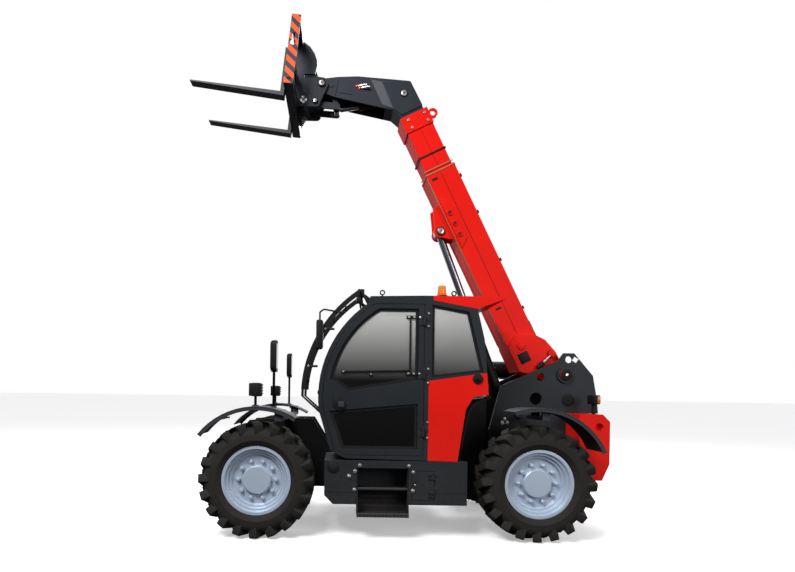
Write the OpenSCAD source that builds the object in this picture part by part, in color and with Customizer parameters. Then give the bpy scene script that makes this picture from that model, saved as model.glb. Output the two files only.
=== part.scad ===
// Telescopic handler with a side cab, a two-section boom and a fork carriage.
// X points forward, Y to the left and Z up, and the wheels stand at zero height.

/* [Running gear] */
// Distance between the front and the rear axle
wheelbase = 2856; // [2700:1:3000]
// Distance between the middle planes of the left and right wheels
track_w = 1800; // [1780:1:1860]
// Outside diameter of a tyre over its lugs
tyre_d = 1180; // [1140:1:1200]
// Width of a tyre
tyre_w = 400; // [360:1:410]
// Outside diameter of the rim flange
rim_d = 700; // [680:1:720]
// Diameter of the axle beam
axle_d = 170; // [140:1:190]
// Distance between the steering pins of one axle
kingpin_w = 1580; // [1560:1:1600]

/* [Chassis] */
// Thickness of the side plates
plate_t = 25; // [20:1:30]
// Clear width between the side plates
frame_w = 480; // [470:1:500]
// Height of the lower edge of the side plates
frame_low_z = 400; // [380:1:430]
// Height of the side plates beside the cab
frame_top_z = 850; // [800:1:880]
// Height of the boom pivot
pivot_z = 1735; // [1700:1:1760]
// Distance of the boom pivot behind the rear axle
pivot_back = 595; // [570:1:620]
// Width of the counterweight
weight_w = 1200; // [1000:1:1300]

/* [Cab] */
// Outside face of the cab, from the middle of the machine
cab_out_y = 1000; // [980:1:1010]
// Inside face of the cab, from the middle of the machine
cab_in_y = 300; // [290:1:330]
// Thickness of the cab walls and of the door
wall_t = 60; // [50:1:70]
// Thickness of the window glass
glass_t = 8; // [6:1:12]
// Height of the underside of the cab
cab_low_z = 800; // [790:1:830]
// Height of the cab roof
cab_top_z = 2490; // [2460:1:2520]
// Radius of the curved windscreen line
screen_r = 1165; // [1150:1:1180]

/* [Boom] */
// Angle of the boom above the horizontal
boom_angle = 64; // [40:1:66]
// Height of the outer boom section
outer_h = 366; // [356:1:380]
// Width of the outer boom section
outer_w = 300; // [290:1:310]
// Wall of the boom sections
boom_wall = 12; // [8:1:14]
// Gap between the boom sections, filled by wear pads at the mouth
slide_gap = 8; // [6:1:10]
// Distance from the pivot to the boom mouth, along the boom
mouth_a = 2830; // [2750:1:2900]
// Length of the inner section that stands out of the mouth
reach_a = 540; // [500:1:600]

/* [Carriage and forks] */
// Width of the fork carriage
carriage_w = 1200; // [1100:1:1300]
// Height of the fork carriage
carriage_h = 760; // [720:1:800]
// Angle of the forks above the horizontal
fork_angle = 6.5; // [0:0.5:10]
// Length of a fork blade
fork_l = 1065; // [900:1:1150]
// Width of a fork blade
fork_w = 110; // [100:1:125]
// Thickness of a fork at its heel
fork_t = 45; // [40:1:50]

/* [Cylinders] */
// Outside diameter of the lift cylinder
lift_d = 150; // [130:1:160]
// Diameter of the lift rod
lift_rod_d = 90; // [80:1:96]
// Outside diameter of the tilt cylinder
tilt_d = 86; // [76:1:88]
// Diameter of the tilt rod
tilt_rod_d = 50; // [44:1:52]

/* [Hidden] */
$fn = 48;

// Colours
red = "#d8231c";
slate = "#4b545c";
anthracite = "#3a3d40";
black = "#1d1e20";
silver = "#c3cad0";
chrome = "#dfe3e6";
rubber = "#26221f";
tint = "#6b7276";
amber = "#e8830c";
lamp = "#e9edf0";

// Shared values
over = 5;
clear = 5;
fit = 0.5;
skin = 0.4;
arc_steps = 14;
axle_z = tyre_d / 2;
front_x = wheelbase;

// Points of an arc, from one angle to another
function arc(x, z, r, from, to, n = arc_steps) =
  [for (i = [0 : n]) let (t = from + (to - from) * i / n) [x + r * cos(t), z + r * sin(t)]];
// Points given as shares of a width and a height
function sized(shares, w, h, x = 0, z = 0) = [for (s = shares) [x + s[0] * w, z + s[1] * h]];

// Everything is placed from the rear axle and then centred over the origin
module machine() { translate([-mid_x, 0, 0]) children(); }
// Upright slab with an outline in X and Z, between two places in Y
module slab(points, y0, y1) {
  translate([0, y1, 0]) rotate([90, 0, 0]) linear_extrude(y1 - y0) polygon(points);
}
// Round bar across the machine, between two places in Y
module bar(x, z, d, y0, y1) {
  translate([x, y1, z]) rotate([90, 0, 0]) cylinder(d = d, h = y1 - y0);
}
// Block between two corners
module block(low, high) { translate(low) cube(high - low); }
// The same shape on the left and on the right
module both() {
  children();
  mirror([0, 1, 0]) children();
}
// Frame of the boom: X along it from the pivot, Z square to it
module boom_frame() {
  translate([-pivot_back, 0, pivot_z]) rotate([0, -boom_angle, 0]) children();
}
// Place in the machine of a point of the boom frame
function on_boom(q) = [-pivot_back + q[0] * cos(boom_angle) - q[1] * sin(boom_angle),
  pivot_z + q[0] * sin(boom_angle) + q[1] * cos(boom_angle)];

// Chassis values
plate_y = frame_w / 2;
plate_out_y = plate_y + plate_t;
pad_h = 30;
arch_z = axle_z + axle_d / 2 + pad_h;
arch_top_w = 380;
arch_low_w = 460;
tower_back = 986;
tower_w = 1266;
tower_over = 173;
tower_h = pivot_z - frame_top_z + tower_over;
weight_front_x = -615;
weight_top_z = 1290;
weight_low_z = 562;
nose_reach = 424;
nose_x = front_x + nose_reach;
nose_low_z = 560;
nose_mid_z = 900;
nose_over = 10;
nose_top_z = tyre_d + nose_over;
nose_top_back = 526;
nose_top_front = 136;
nose_slope = 426;
belly_t = 12;
cross_t = 20;
pivot_pin_d = 90;
pivot_boss_d = 190;
eye_d = 80;
tower_hole_d = 144;
small_hole_d = 90;
lift_base = [-150, 840];
lift_pin_d = 60;
nose_cross_h = 140;
tower_shares = [[0.942, 0], [1, 0.22], [0.904, 0.672], [0.896, 0.705], [0.37, 0.995], [0.325, 1.075],
  [0.225, 1.075], [0.051, 0.83], [0.011, 0.566]];
eye_share = [0.275, 1.005];
large_hole_shares = [[0.572, 0.568], [0.283, 0.561]];
small_hole_share = [0.534, 0.81];
square_hole_share = [0.205, 0.965];
square_hole_w = 60;
tower_origin = [-tower_back, frame_top_z];
function on_tower(s) = [tower_origin[0] + s[0] * tower_w, tower_origin[1] + s[1] * tower_h];

// Outline of a side plate, from the rear foot forward to the nose and back over the tower
function frame_outline() = concat(
  [[weight_front_x, weight_low_z], [-arch_low_w, frame_low_z], [-arch_low_w / 2, frame_low_z],
   [-arch_top_w / 2, arch_z], [arch_top_w / 2, arch_z], [arch_low_w / 2, frame_low_z],
   [front_x - arch_low_w / 2, frame_low_z], [front_x - arch_top_w / 2, arch_z],
   [front_x + arch_top_w / 2, arch_z], [front_x + arch_low_w / 2, nose_low_z],
   [nose_x, nose_low_z], [nose_x, nose_mid_z], [nose_x - nose_slope / 2, nose_top_z - pad_h],
   [front_x - nose_top_front, nose_top_z], [front_x - nose_top_back, nose_top_z],
   [front_x - nose_top_back - nose_slope / 2, frame_top_z]],
  [for (s = tower_shares) on_tower(s)],
  [[-tower_back, weight_top_z], [weight_front_x, weight_top_z]]);

// Side plates with the boom tower, cross members, belly plate and lift pin
module chassis_frame() {
  eye = on_tower(eye_share);
  square_hole = on_tower(square_hole_share);
  small_hole = on_tower(small_hole_share);
  color(anthracite) machine() {
    difference() {
      union() {
        both() slab(frame_outline(), plate_y, plate_out_y);
        both() bar(-pivot_back, pivot_z, pivot_boss_d, plate_out_y, plate_out_y + plate_t);
        block([-arch_low_w, -plate_y, frame_low_z], [-arch_low_w / 2, plate_y, frame_low_z + belly_t]);
        block([arch_low_w / 2, -plate_y, frame_low_z],
          [front_x - arch_low_w / 2, plate_y, frame_low_z + belly_t]);
        block([weight_front_x, -plate_y, weight_low_z], [weight_front_x + cross_t, plate_y, weight_top_z]);
        block([nose_x - cross_t, -plate_y, nose_low_z], [nose_x, plate_y, nose_low_z + nose_cross_h]);
        bar(on_tower(large_hole_shares[1])[0], on_tower(large_hole_shares[1])[1], small_hole_d,
          -plate_y, plate_y);
        bar(lift_base[0], lift_base[1], lift_pin_d, -plate_y, plate_y);
      }
      bar(eye[0], eye[1], eye_d, -plate_out_y - over, plate_out_y + over);
      bar(small_hole[0], small_hole[1], small_hole_d, -plate_out_y - over, plate_out_y + over);
      bar(on_tower(large_hole_shares[0])[0], on_tower(large_hole_shares[0])[1], tower_hole_d,
        -plate_out_y - over, plate_out_y + over);
      both() bar(-pivot_back, pivot_z, pivot_pin_d, plate_y - over, plate_out_y + plate_t + over);
      both() translate([square_hole[0], plate_y - over, square_hole[1]]) rotate([0, -boom_angle / 2, 0])
        cube([square_hole_w, plate_t + 2 * over, square_hole_w]);
    }
  }
}

// Counterweight values
weight_back = 950;
weight_shoulder = 80;
weight_cut = 180;
weight_eye_d = 90;
weight_eye_deep = 60;
weight_eye = [-834, 1147];

// Cast counterweight behind the rear axle, with a round pocket in each end
module rear_counterweight() {
  outline = [[weight_front_x, weight_low_z], [-weight_back + weight_shoulder, weight_low_z],
    [-weight_back, weight_low_z + weight_cut], [-weight_back, weight_top_z - weight_shoulder],
    [-weight_back + weight_shoulder, weight_top_z], [weight_front_x - weight_shoulder, weight_top_z],
    [weight_front_x, weight_top_z]];
  color(red) machine() difference() {
    slab(outline, -weight_w / 2, weight_w / 2);
    both() bar(weight_eye[0], weight_eye[1], weight_eye_d, weight_w / 2 - weight_eye_deep,
      weight_w / 2 + over);
  }
}

// Hitch values
hitch_w = 160;
hitch_t = 30;
hitch_pin_d = 32;
hitch_z = 860;
hitch_gap = 70;
hitch_reach = 84;

// Tow clevis on the back of the counterweight
module rear_hitch() {
  color(black) machine() difference() {
    union() for (z = [hitch_z - hitch_gap / 2 - hitch_t, hitch_z + hitch_gap / 2])
      block([-weight_back - hitch_reach, -hitch_w / 2, z],
        [-weight_back, hitch_w / 2, z + hitch_t]);
    translate([-weight_back - hitch_reach / 2, 0, hitch_z - hitch_gap - hitch_t])
      cylinder(d = hitch_pin_d, h = 2 * hitch_gap + 2 * hitch_t);
  }
}

// Axle values
diff_d = 340;
diff_w = 300;
yoke_w = 130;
yoke_t = 30;
yoke_half_h = 110;
kingpin_d = 50;
pad_l = 300;
kingpin_y = kingpin_w / 2;
wheel_y = track_w / 2;
beam_end_y = kingpin_y - yoke_w;

// Axle beam with its differential, mounting pads and an open yoke at each end
module axle(x) {
  color(black) machine() translate([x, 0, axle_z]) difference() {
    union() {
      bar(0, 0, axle_d, -beam_end_y, beam_end_y);
      bar(0, 0, diff_d, -diff_w / 2, diff_w / 2);
      both() block([-pad_l / 2, plate_y, 0], [pad_l / 2, plate_out_y, axle_d / 2 + pad_h]);
      both() block([-yoke_w / 2, beam_end_y - yoke_t, -yoke_half_h - yoke_t],
        [yoke_w / 2, beam_end_y, yoke_half_h + yoke_t]);
      both() for (z = [-yoke_half_h - yoke_t, yoke_half_h]) {
        block([-yoke_w / 2, beam_end_y - over, z], [yoke_w / 2, kingpin_y, z + yoke_t]);
        translate([0, kingpin_y, z]) cylinder(d = yoke_w, h = yoke_t);
      }
    }
    both() translate([0, kingpin_y, -2 * yoke_half_h]) cylinder(d = kingpin_d, h = 4 * yoke_half_h);
  }
}
module front_axle() { axle(front_x); }
module rear_axle() { axle(0); }

// Knuckle values
swivel_d = 150;
hub_d = 190;
spindle_d = 120;
hub_out = 60;
hub_face_y = wheel_y + hub_out;
arm_l = 130;
arm_t = 40;
arm_z = -40;

// Steering knuckle between the yoke arms, with its pins, hub and steering arm
module knuckle(x, side) {
  color(black) machine() translate([x, 0, axle_z]) scale_y(side) {
    translate([0, kingpin_y, -yoke_half_h + fit])
      cylinder(d = swivel_d - 2 * clear, h = 2 * yoke_half_h - 2 * fit);
    translate([0, kingpin_y, -yoke_half_h - yoke_t])
      cylinder(d = kingpin_d - 2 * fit, h = 2 * yoke_half_h + 2 * yoke_t);
    bar(0, 0, hub_d, kingpin_y, hub_face_y - over);
    bar(0, 0, spindle_d, kingpin_y, hub_face_y);
    block([-arm_l, kingpin_y - arm_t / 2, arm_z], [0, kingpin_y + arm_t / 2, arm_z + arm_t]);
  }
}
// Left side as modelled, right side mirrored
module scale_y(side) { mirror([0, side > 0 ? 0 : 1, 0]) children(); }
// Frame of a wheel: Z runs outwards along its axis
module on_wheel(x, side) {
  machine() translate([x, 0, axle_z]) scale_y(side) translate([0, wheel_y, 0]) rotate([-90, 0, 0]) children();
}
module knuckle_front_left() { knuckle(front_x, 1); }
module knuckle_front_right() { knuckle(front_x, -1); }
module knuckle_rear_left() { knuckle(0, 1); }
module knuckle_rear_right() { knuckle(0, -1); }

// Rim values
rim_w = 330;
rim_wall = 14;
bead_d = 640;
bead_w = 38;
lip = 12;
disc_t = 18;
step_in = 88;
step_count = 3;
step_ledge = 10;
cap_d = 290;
cap_out = 62;
cap_edge = 10;
nut_ring_d = 384;
nut_d = 36;
nut_h = 24;
nut_count = 10;

// Rings that step from the flange in to the disc, outer face only
function rim_steps(r, top, low) = let (rise = (top - low) / step_count, run = step_in / step_count)
  [for (i = [0 : step_count - 1]) each [[r - step_in + i * run, low + i * rise],
    [r - step_in + i * run + step_ledge, low + (i + 1) * rise]]];
// Profile of the rim, radius first and then place across the wheel
function rim_profile(disc_y) = let (r = rim_d / 2, b = bead_d / 2, w = rim_w / 2,
    face = disc_y + disc_t) concat(
  [[0, disc_y + cap_out], [cap_d / 2 - cap_edge, disc_y + cap_out],
   [cap_d / 2, disc_y + cap_out - cap_edge], [cap_d / 2, face]],
  rim_steps(r - lip, w, face),
  [[r - lip, w], [r, w], [r, w - lip], [b, w - bead_w], [b, -w + bead_w], [r, -w + lip], [r, -w],
   [r - lip, -w], [b - rim_wall, -w + bead_w], [b - rim_wall, disc_y], [0, disc_y]]);

// Wheel rim with its stepped dish, hub cap and nuts, around the wheel axis
module rim(x, side) {
  disc_y = hub_face_y - wheel_y + skin;
  color(silver) on_wheel(x, side) {
    rotate_extrude($fn = 96) polygon(rim_profile(disc_y));
    for (i = [0 : nut_count - 1]) rotate([0, 0, 360 * i / nut_count])
      translate([nut_ring_d / 2, 0, disc_y]) cylinder(d = nut_d, h = disc_t + nut_h);
  }
}
module rim_front_left() { rim(front_x, 1); }
module rim_front_right() { rim(front_x, -1); }
module rim_rear_left() { rim(0, 1); }
module rim_rear_right() { rim(0, -1); }

// Tyre values
lug_count = 20;
lug_h = 52;
lug_w = 86;
lug_turn = 20;
lug_mid = 15;
lug_root = 120;
lug_sink = 30;
ring_sides = 20;
crown_share = 0.8;
wall_share = 0.97;

// Ring of flat sides that lie outside a round of the given radius
module ring_face(r) {
  polygon(arc(0, 0, r / cos(180 / ring_sides), 0, 360 * (1 - 1 / ring_sides), ring_sides - 1));
}
// Place of a lug corner along the tread, and the height of the lug there
function lug_side(across) = across * sin(lug_turn) + lug_w / 2 * cos(lug_turn);
function lug_top(across) = sqrt(pow(tyre_d / 2, 2) - pow(lug_side(across), 2));
// One lug from the middle of the tread over the shoulder, turned about its own radius
module lug() {
  w = (tyre_w / 2 - lug_w / 2 * sin(lug_turn)) / cos(lug_turn);
  root = tyre_d / 2 - lug_root;
  rotate([lug_turn, 0, 0]) translate([0, lug_w / 2, 0]) rotate([90, 0, 0]) linear_extrude(lug_w)
    polygon([[lug_top(lug_mid) - lug_h - lug_sink, -lug_mid], [lug_top(lug_mid), -lug_mid],
      [lug_top(w), w], [root, w], [root, w - lug_h]]);
}
// Tyre around the rim, with its two rows of lugs set half a pitch apart and one lug edge on the ground
module tyre(x, side) {
  r = lug_top(lug_mid) - lug_h;
  crown = tyre_w / 2 * crown_share;
  wall = tyre_w / 2 * wall_share;
  seat_r = rim_d / 2 + skin;
  wall_r = seat_r + lip;
  color(rubber) on_wheel(x, side) difference() {
    union() {
      linear_extrude(2 * crown, center = true) ring_face(r);
      for (m = [0, 1]) mirror([0, 0, m]) {
        translate([0, 0, crown]) linear_extrude(wall - crown, scale = wall_r / r) ring_face(r);
        for (i = [0 : lug_count - 1])
          rotate([0, 0, 360 * (i + m / 2) / lug_count + asin(2 * lug_side(lug_mid) / tyre_d)]) lug();
      }
    }
    linear_extrude(tyre_w, center = true) ring_face(seat_r);
  }
}
module tyre_front_left() { tyre(front_x, 1); }
module tyre_front_right() { tyre(front_x, -1); }
module tyre_rear_left() { tyre(0, 1); }
module tyre_rear_right() { tyre(0, -1); }

// Engine values
tank_gap = 116;
tank_l = 420;
tank_x = [front_x - tyre_d / 2 - tank_gap - tank_l, front_x - tyre_d / 2 - tank_gap];
hood_gap = 10;
hood_behind = 130;
hood_x = [tyre_d / 2 + hood_behind, tank_x[0] - hood_gap];
engine_behind = 70;
engine_ahead = 100;
engine_x = [hood_x[0] + engine_behind, hood_x[1] - engine_ahead];
engine_y = [-880, -330];
engine_z = [520, 1300];
hood_y = [-1000, -300];
hood_low_z = 860;
hood_top_z = 1560;
hood_t = 25;
hood_round = 160;
hood_pin_d = 24;
hood_pin_l = 60;
hood_pin_out = 13;
hood_leaf_h = 55;
hood_hinge_shares = [0.2, 0.75];
tray_t = 20;
tray_low_z = 420;
tank_top_z = 1180;
tank_cut = 120;
filler_d = 90;
filler_h = 40;

// Engine and cooling pack as one plain mass
module engine_block() {
  color(black) machine()
    block([engine_x[0], engine_y[0], engine_z[0]], [engine_x[1], engine_y[1], engine_z[1]]);
}

// Half of a hood hinge along X: a pin with a web on one side of it in Z
module hood_hinge(x, web_low, web_top) {
  y = hood_y[1] + hood_pin_out;
  z = hood_top_z - hood_pin_out + skin;
  translate([x, y, z]) rotate([0, 90, 0]) cylinder(d = hood_pin_d, h = hood_pin_l);
  block([x, y - hood_pin_d / 4, web_low], [x + hood_pin_l, y + hood_pin_d / 4, z]);
  block([x, hood_y[1], web_low], [x + hood_pin_l, y, web_top]);
}
function hood_hinge_x(s) = hood_x[0] + s * (hood_x[1] - hood_x[0]);

// Tray that carries the engine beside the right side plate
module engine_tray() {
  color(black) machine() {
    block([hood_x[0], hood_y[0], tray_low_z], [hood_x[1], -plate_out_y, tray_low_z + tray_t]);
    block([hood_x[0], hood_y[0], tray_low_z + tray_t], [hood_x[1], hood_y[0] + tray_t, hood_low_z - clear]);
    for (x = [hood_x[0], hood_x[1] - tray_t])
      block([x, hood_y[0] + tray_t, tray_low_z + tray_t], [x + tray_t, hood_y[1], hood_low_z - clear]);
    block([engine_x[0], engine_y[0], tray_low_z + tray_t], [engine_x[1], engine_y[1], engine_z[0]]);
    block([hood_x[0] + hood_t + clear, hood_y[1] - tray_t, tray_low_z + tray_t],
      [hood_x[1] - hood_t - clear, hood_y[1], hood_top_z - hood_t - skin]);
    for (s = hood_hinge_shares)
      hood_hinge(hood_hinge_x(s), hood_top_z - hood_t - hood_leaf_h, hood_top_z - hood_t - skin);
  }
}

// Hydraulic tank in front of the engine, with its filler
module hydraulic_tank() {
  outline = [[tank_x[0], tray_low_z], [tank_x[1] - tank_cut, tray_low_z], [tank_x[1], tray_low_z + tank_cut],
    [tank_x[1], tank_top_z], [tank_x[0], tank_top_z]];
  color(anthracite) machine() {
    slab(outline, hood_y[0], -plate_out_y);
    translate([(tank_x[0] + tank_x[1]) / 2, hood_y[0] + tank_cut, tank_top_z])
      cylinder(d = filler_d, h = filler_h);
  }
}

// Air cleaner values
cleaner_d = 220;
cleaner_l = 520;
cleaner_y = -600;
cleaner_z = 1830;
cleaner_x = -440;
cap_l = 40;
cap_more = 16;
saddle_l = 120;
saddle_t = 14;
pipe_d = 90;

// Air cleaner on a bracket from the tower
module air_cleaner() {
  mid = cleaner_x + cleaner_l / 2;
  color(black) machine() {
    translate([cleaner_x, cleaner_y, cleaner_z]) rotate([0, 90, 0]) cylinder(d = cleaner_d, h = cleaner_l);
    for (x = [cleaner_x, cleaner_x + cleaner_l - cap_l])
      translate([x, cleaner_y, cleaner_z]) rotate([0, 90, 0]) cylinder(d = cleaner_d + cap_more, h = cap_l);
    block([mid - saddle_l / 2, cleaner_y - cleaner_d / 3, cleaner_z - cleaner_d / 2 - saddle_t],
      [mid + saddle_l / 2, -plate_out_y, cleaner_z - cleaner_d / 2]);
    block([mid - saddle_l / 2, cleaner_y - cleaner_d / 4, cleaner_z - cleaner_d / 2],
      [mid + saddle_l / 2, cleaner_y + cleaner_d / 4, cleaner_z]);
    block([mid - saddle_l / 2, -plate_out_y - saddle_t, cleaner_z - cleaner_d],
      [mid + saddle_l / 2, -plate_out_y, cleaner_z - cleaner_d / 2]);
  }
}

// Engine hood: a shell open below and inboard, hinged along its inboard upper edge
function hood_outline(inset) = concat(
  [[hood_y[0] + inset, hood_low_z - (inset > 0 ? over : 0)]],
  arc(hood_y[0] + hood_round, hood_top_z - hood_round, hood_round - inset, 180, 90, 6),
  [[hood_y[1] + (inset > 0 ? over : 0), hood_top_z - inset],
   [hood_y[1] + (inset > 0 ? over : 0), hood_low_z - (inset > 0 ? over : 0)]]);
vent_n = 6;
vent_h = 260;
vent_margin = 160;
vent_share = 0.53;
vent_x = hood_x[0] + vent_margin;
vent_pitch = (hood_x[1] - hood_x[0] - 2 * vent_margin) / vent_n;
vent_w = vent_share * vent_pitch;
vent_z = 1040;
module engine_hood() {
  color(anthracite) machine() difference() {
    slab_x(hood_outline(0), hood_x[0], hood_x[1]);
    slab_x(hood_outline(hood_t), hood_x[0] + hood_t, hood_x[1] - hood_t);
    for (i = [0 : vent_n - 1])
      block([vent_x + i * vent_pitch, hood_y[0] - over, vent_z],
        [vent_x + i * vent_pitch + vent_w, hood_y[0] + hood_t + over, vent_z + vent_h]);
  }
  color(anthracite) machine() for (s = hood_hinge_shares)
    hood_hinge(hood_hinge_x(s) + hood_pin_l + skin, hood_top_z - hood_t, hood_top_z);
}

// Slab with an outline in Y and Z, between two places in X
module slab_x(points, x0, x1) {
  translate([x0, 0, 0]) rotate([90, 0, 90]) linear_extrude(x1 - x0) polygon(points);
}

// Skirt values
skirt_behind = 127;
skirt_ahead = 96;
skirt_x = [tyre_d / 2 + skirt_behind, front_x - tyre_d / 2 - skirt_ahead];
function on_skirt(share) = skirt_x[0] + share * (skirt_x[1] - skirt_x[0]);
skirt_y = 1020;
skirt_low_z = 356;
skirt_nose = 90;
step_shares = [0.41, 0.772];
step_x = [for (s = step_shares) on_skirt(s)];
step_top_z = 726;
step_deep = 230;
locker_shares = [0.228, 0.388];
locker_x = [for (s = locker_shares) on_skirt(s)];
locker_z = [399, 703];
locker_deep = 260;
locker_t = 20;
locker_pin_d = 14;
locker_pin_h = 36;
locker_leaf = 30;
locker_hinge_shares = [0.2, 0.7];
function locker_hinge(s) = locker_z[0] + s * (locker_z[1] - locker_z[0]);
hinge_out = 1;
leaf_t = 6;

// One half of a hinge: a knuckle that stands off a face, with its leaf along X
module hinge_half(x, y, z, d, h, leaf) {
  translate([x, y + hinge_out + d / 2, z]) cylinder(d = d, h = h);
  block([min(x, x + leaf), y, z], [max(x, x + leaf), y + leaf_t, z + h]);
  block([leaf < 0 ? x - d / 2 : x, y, z], [leaf < 0 ? x : x + d / 2, y + hinge_out + d / 2, z + h]);
}

// Left skirt under the cab, with the step recess and the tool locker
module left_skirt() {
  outline = [[skirt_x[0], skirt_low_z], [skirt_x[1] - skirt_nose, skirt_low_z],
    [skirt_x[1], skirt_low_z + skirt_nose], [skirt_x[1], cab_low_z], [skirt_x[0], cab_low_z]];
  color(anthracite) machine() difference() {
    slab(outline, plate_out_y, skirt_y);
    block([step_x[0], skirt_y - step_deep, skirt_low_z - over], [step_x[1], skirt_y + over, step_top_z]);
    block([locker_x[0], skirt_y - locker_deep, locker_z[0]], [locker_x[1], skirt_y + over, locker_z[1]]);
  }
  color(anthracite) machine() for (s = locker_hinge_shares)
    hinge_half(locker_x[0] + clear, skirt_y, locker_hinge(s) + locker_pin_h + skin, locker_pin_d,
      locker_pin_h, -locker_leaf);
}

// Step values
tread_t = 24;
tread_zs = [484, 240];
tread_in = 10;
tread_over = 60;
tread_outs = [skirt_y - tread_in, skirt_y + tread_over];
tread_deep = 200;
hanger_t = 10;
hanger_w = 60;

// Two step treads hung between side plates in the recess of the skirt
module steps() {
  back = skirt_y - step_deep;
  color(black) machine() {
    for (i = [0, 1])
      block([step_x[0] + clear, tread_outs[i] - tread_deep, tread_zs[i]],
        [step_x[1] - clear, tread_outs[i], tread_zs[i] + tread_t]);
    for (x = [step_x[0] + skin, step_x[1] - hanger_t - skin])
      slab_x([[back, step_top_z], [back, step_top_z - hanger_w], [tread_outs[1] - tread_deep, tread_zs[1]],
        [tread_outs[1], tread_zs[1]], [tread_outs[1], tread_zs[1] + tread_t],
        [tread_outs[0], tread_zs[0] + tread_t], [tread_outs[0], step_top_z]], x, x + hanger_t);
  }
}

// Door of the tool locker, hinged at its rear edge
module locker_door() {
  color(anthracite) machine() {
    block([locker_x[0] + clear, skirt_y - locker_t, locker_z[0] + clear],
      [locker_x[1] - clear, skirt_y, locker_z[1] - clear]);
    for (s = locker_hinge_shares)
      hinge_half(locker_x[0] + clear, skirt_y, locker_hinge(s), locker_pin_d, locker_pin_h, locker_leaf);
  }
}

// Fender values
fender_t = 12;
front_fender_over = 148;
front_fender_r = tyre_d / 2 + front_fender_over;
front_fender_from = 38;
front_fender_to = 122;
rear_fender_over = 135;
rear_fender_r = tyre_d / 2 + rear_fender_over;
rear_fender_from = 70;
rear_fender_to = 156;
rear_fender_shift = [15, 35];
fender_y = [wheel_y - tyre_w / 2 - clear, wheel_y + tyre_w / 2];
stay_w = 80;
stay_t = 40;
stay_over = 55;
stay_behind = 216;
stay_z = tyre_d + stay_over;
stay_x = front_x - stay_behind;
post_w = 40;

// Curved sheet over a wheel
module fender_sheet(x, z, r, from, to) {
  slab(concat(arc(x, z, r, from, to), arc(x, z, r + fender_t, to, from)), fender_y[0], fender_y[1]);
}
// Stay from a side plate out under a fender, with two posts up into the sheet
module fender_stay(x, y, low, top) {
  block([x - stay_w / 2, y, low], [x + stay_w / 2, fender_y[1] - post_w, low + stay_t]);
  for (post_y = [fender_y[0] + post_w, fender_y[1] - 2 * post_w])
    block([x - stay_w / 2, post_y, low], [x + stay_w / 2, post_y + post_w, top]);
}
module front_fenders() {
  top = axle_z + sqrt(pow(front_fender_r, 2) - pow(front_x - stay_x, 2)) + fender_t / 2;
  color(slate) machine() both() {
    fender_sheet(front_x, axle_z, front_fender_r, front_fender_from, front_fender_to);
    fender_stay(stay_x, plate_y, nose_top_z, top);
    for (x = [lamp_post_x, mirror_post_x])
      block([x - seat_w / 2, lamp_y - seat_w / 2, fender_top(x) - seat_w / 2],
        [x + seat_w / 2, lamp_y + seat_w / 2, post_foot(x)]);
  }
}
module rear_fenders() {
  x = rear_fender_shift[0];
  z = axle_z + rear_fender_shift[1];
  color(slate) machine() both() {
    fender_sheet(x, z, rear_fender_r, rear_fender_from, rear_fender_to);
    fender_stay(x - stay_w, plate_out_y, stay_z,
      z + sqrt(pow(rear_fender_r, 2) - pow(stay_w, 2)) + fender_t / 2);
  }
}

// Front post values
tube_d = 28;
lamp_ahead = 50;
mirror_behind = 140;
lamp_in = 50;
lamp_post_x = front_x + lamp_ahead;
mirror_post_x = front_x - mirror_behind;
lamp_y = wheel_y - lamp_in;
lamp_over = 324;
lamp_z = tyre_d + lamp_over;
lamp_size = [110, 170, 130];
mirror_over = 519;
mirror_h = 328;
mirror_z = [tyre_d + mirror_over, tyre_d + mirror_over + mirror_h];
mirror_size = [70, 180];
seat_w = 60;
seat_h = 12;
function post_foot(x) = fender_top(x) + seat_h;
function fender_top(x) = axle_z + sqrt(pow(front_fender_r, 2) - pow(x - front_x, 2)) + fender_t;

// Tubes on the front fenders with the mirror heads
module front_posts() {
  color(black) machine() both() {
    translate([lamp_post_x, lamp_y, post_foot(lamp_post_x)])
      cylinder(d = tube_d, h = lamp_z - lamp_size[2] / 2 - post_foot(lamp_post_x));
    translate([mirror_post_x, lamp_y, post_foot(mirror_post_x)])
      cylinder(d = tube_d, h = mirror_z[0] + tube_d - post_foot(mirror_post_x));
    block([mirror_post_x - mirror_size[0] / 2, lamp_y - mirror_size[1] / 2, mirror_z[0]],
      [mirror_post_x + mirror_size[0] / 2, lamp_y + mirror_size[1] / 2, mirror_z[1]]);
  }
}

// Head lamps on the front posts
module front_lights() {
  color(lamp) machine() both()
    translate([lamp_post_x - lamp_size[0] / 2, lamp_y - lamp_size[1] / 2, lamp_z - lamp_size[2] / 2])
      cube(lamp_size);
}

// Rear lamp values
rear_lamp = [-815, 1451];
rear_lamp_y = 500;
rear_lamp_size = [70, 170, 110];
rear_arm_w = 40;

// Rear lamps on stays from the counterweight
module rear_lights() {
  color(amber) machine() both() {
    translate([rear_lamp[0] - rear_lamp_size[0] / 2, rear_lamp_y - rear_lamp_size[1] / 2,
      rear_lamp[1] - rear_lamp_size[2] / 2]) cube(rear_lamp_size);
    block([rear_lamp[0] - rear_arm_w / 2, rear_lamp_y - rear_arm_w / 2, weight_top_z],
      [rear_lamp[0] + rear_arm_w / 2, rear_lamp_y + rear_arm_w / 2, rear_lamp[1]]);
  }
}

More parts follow.
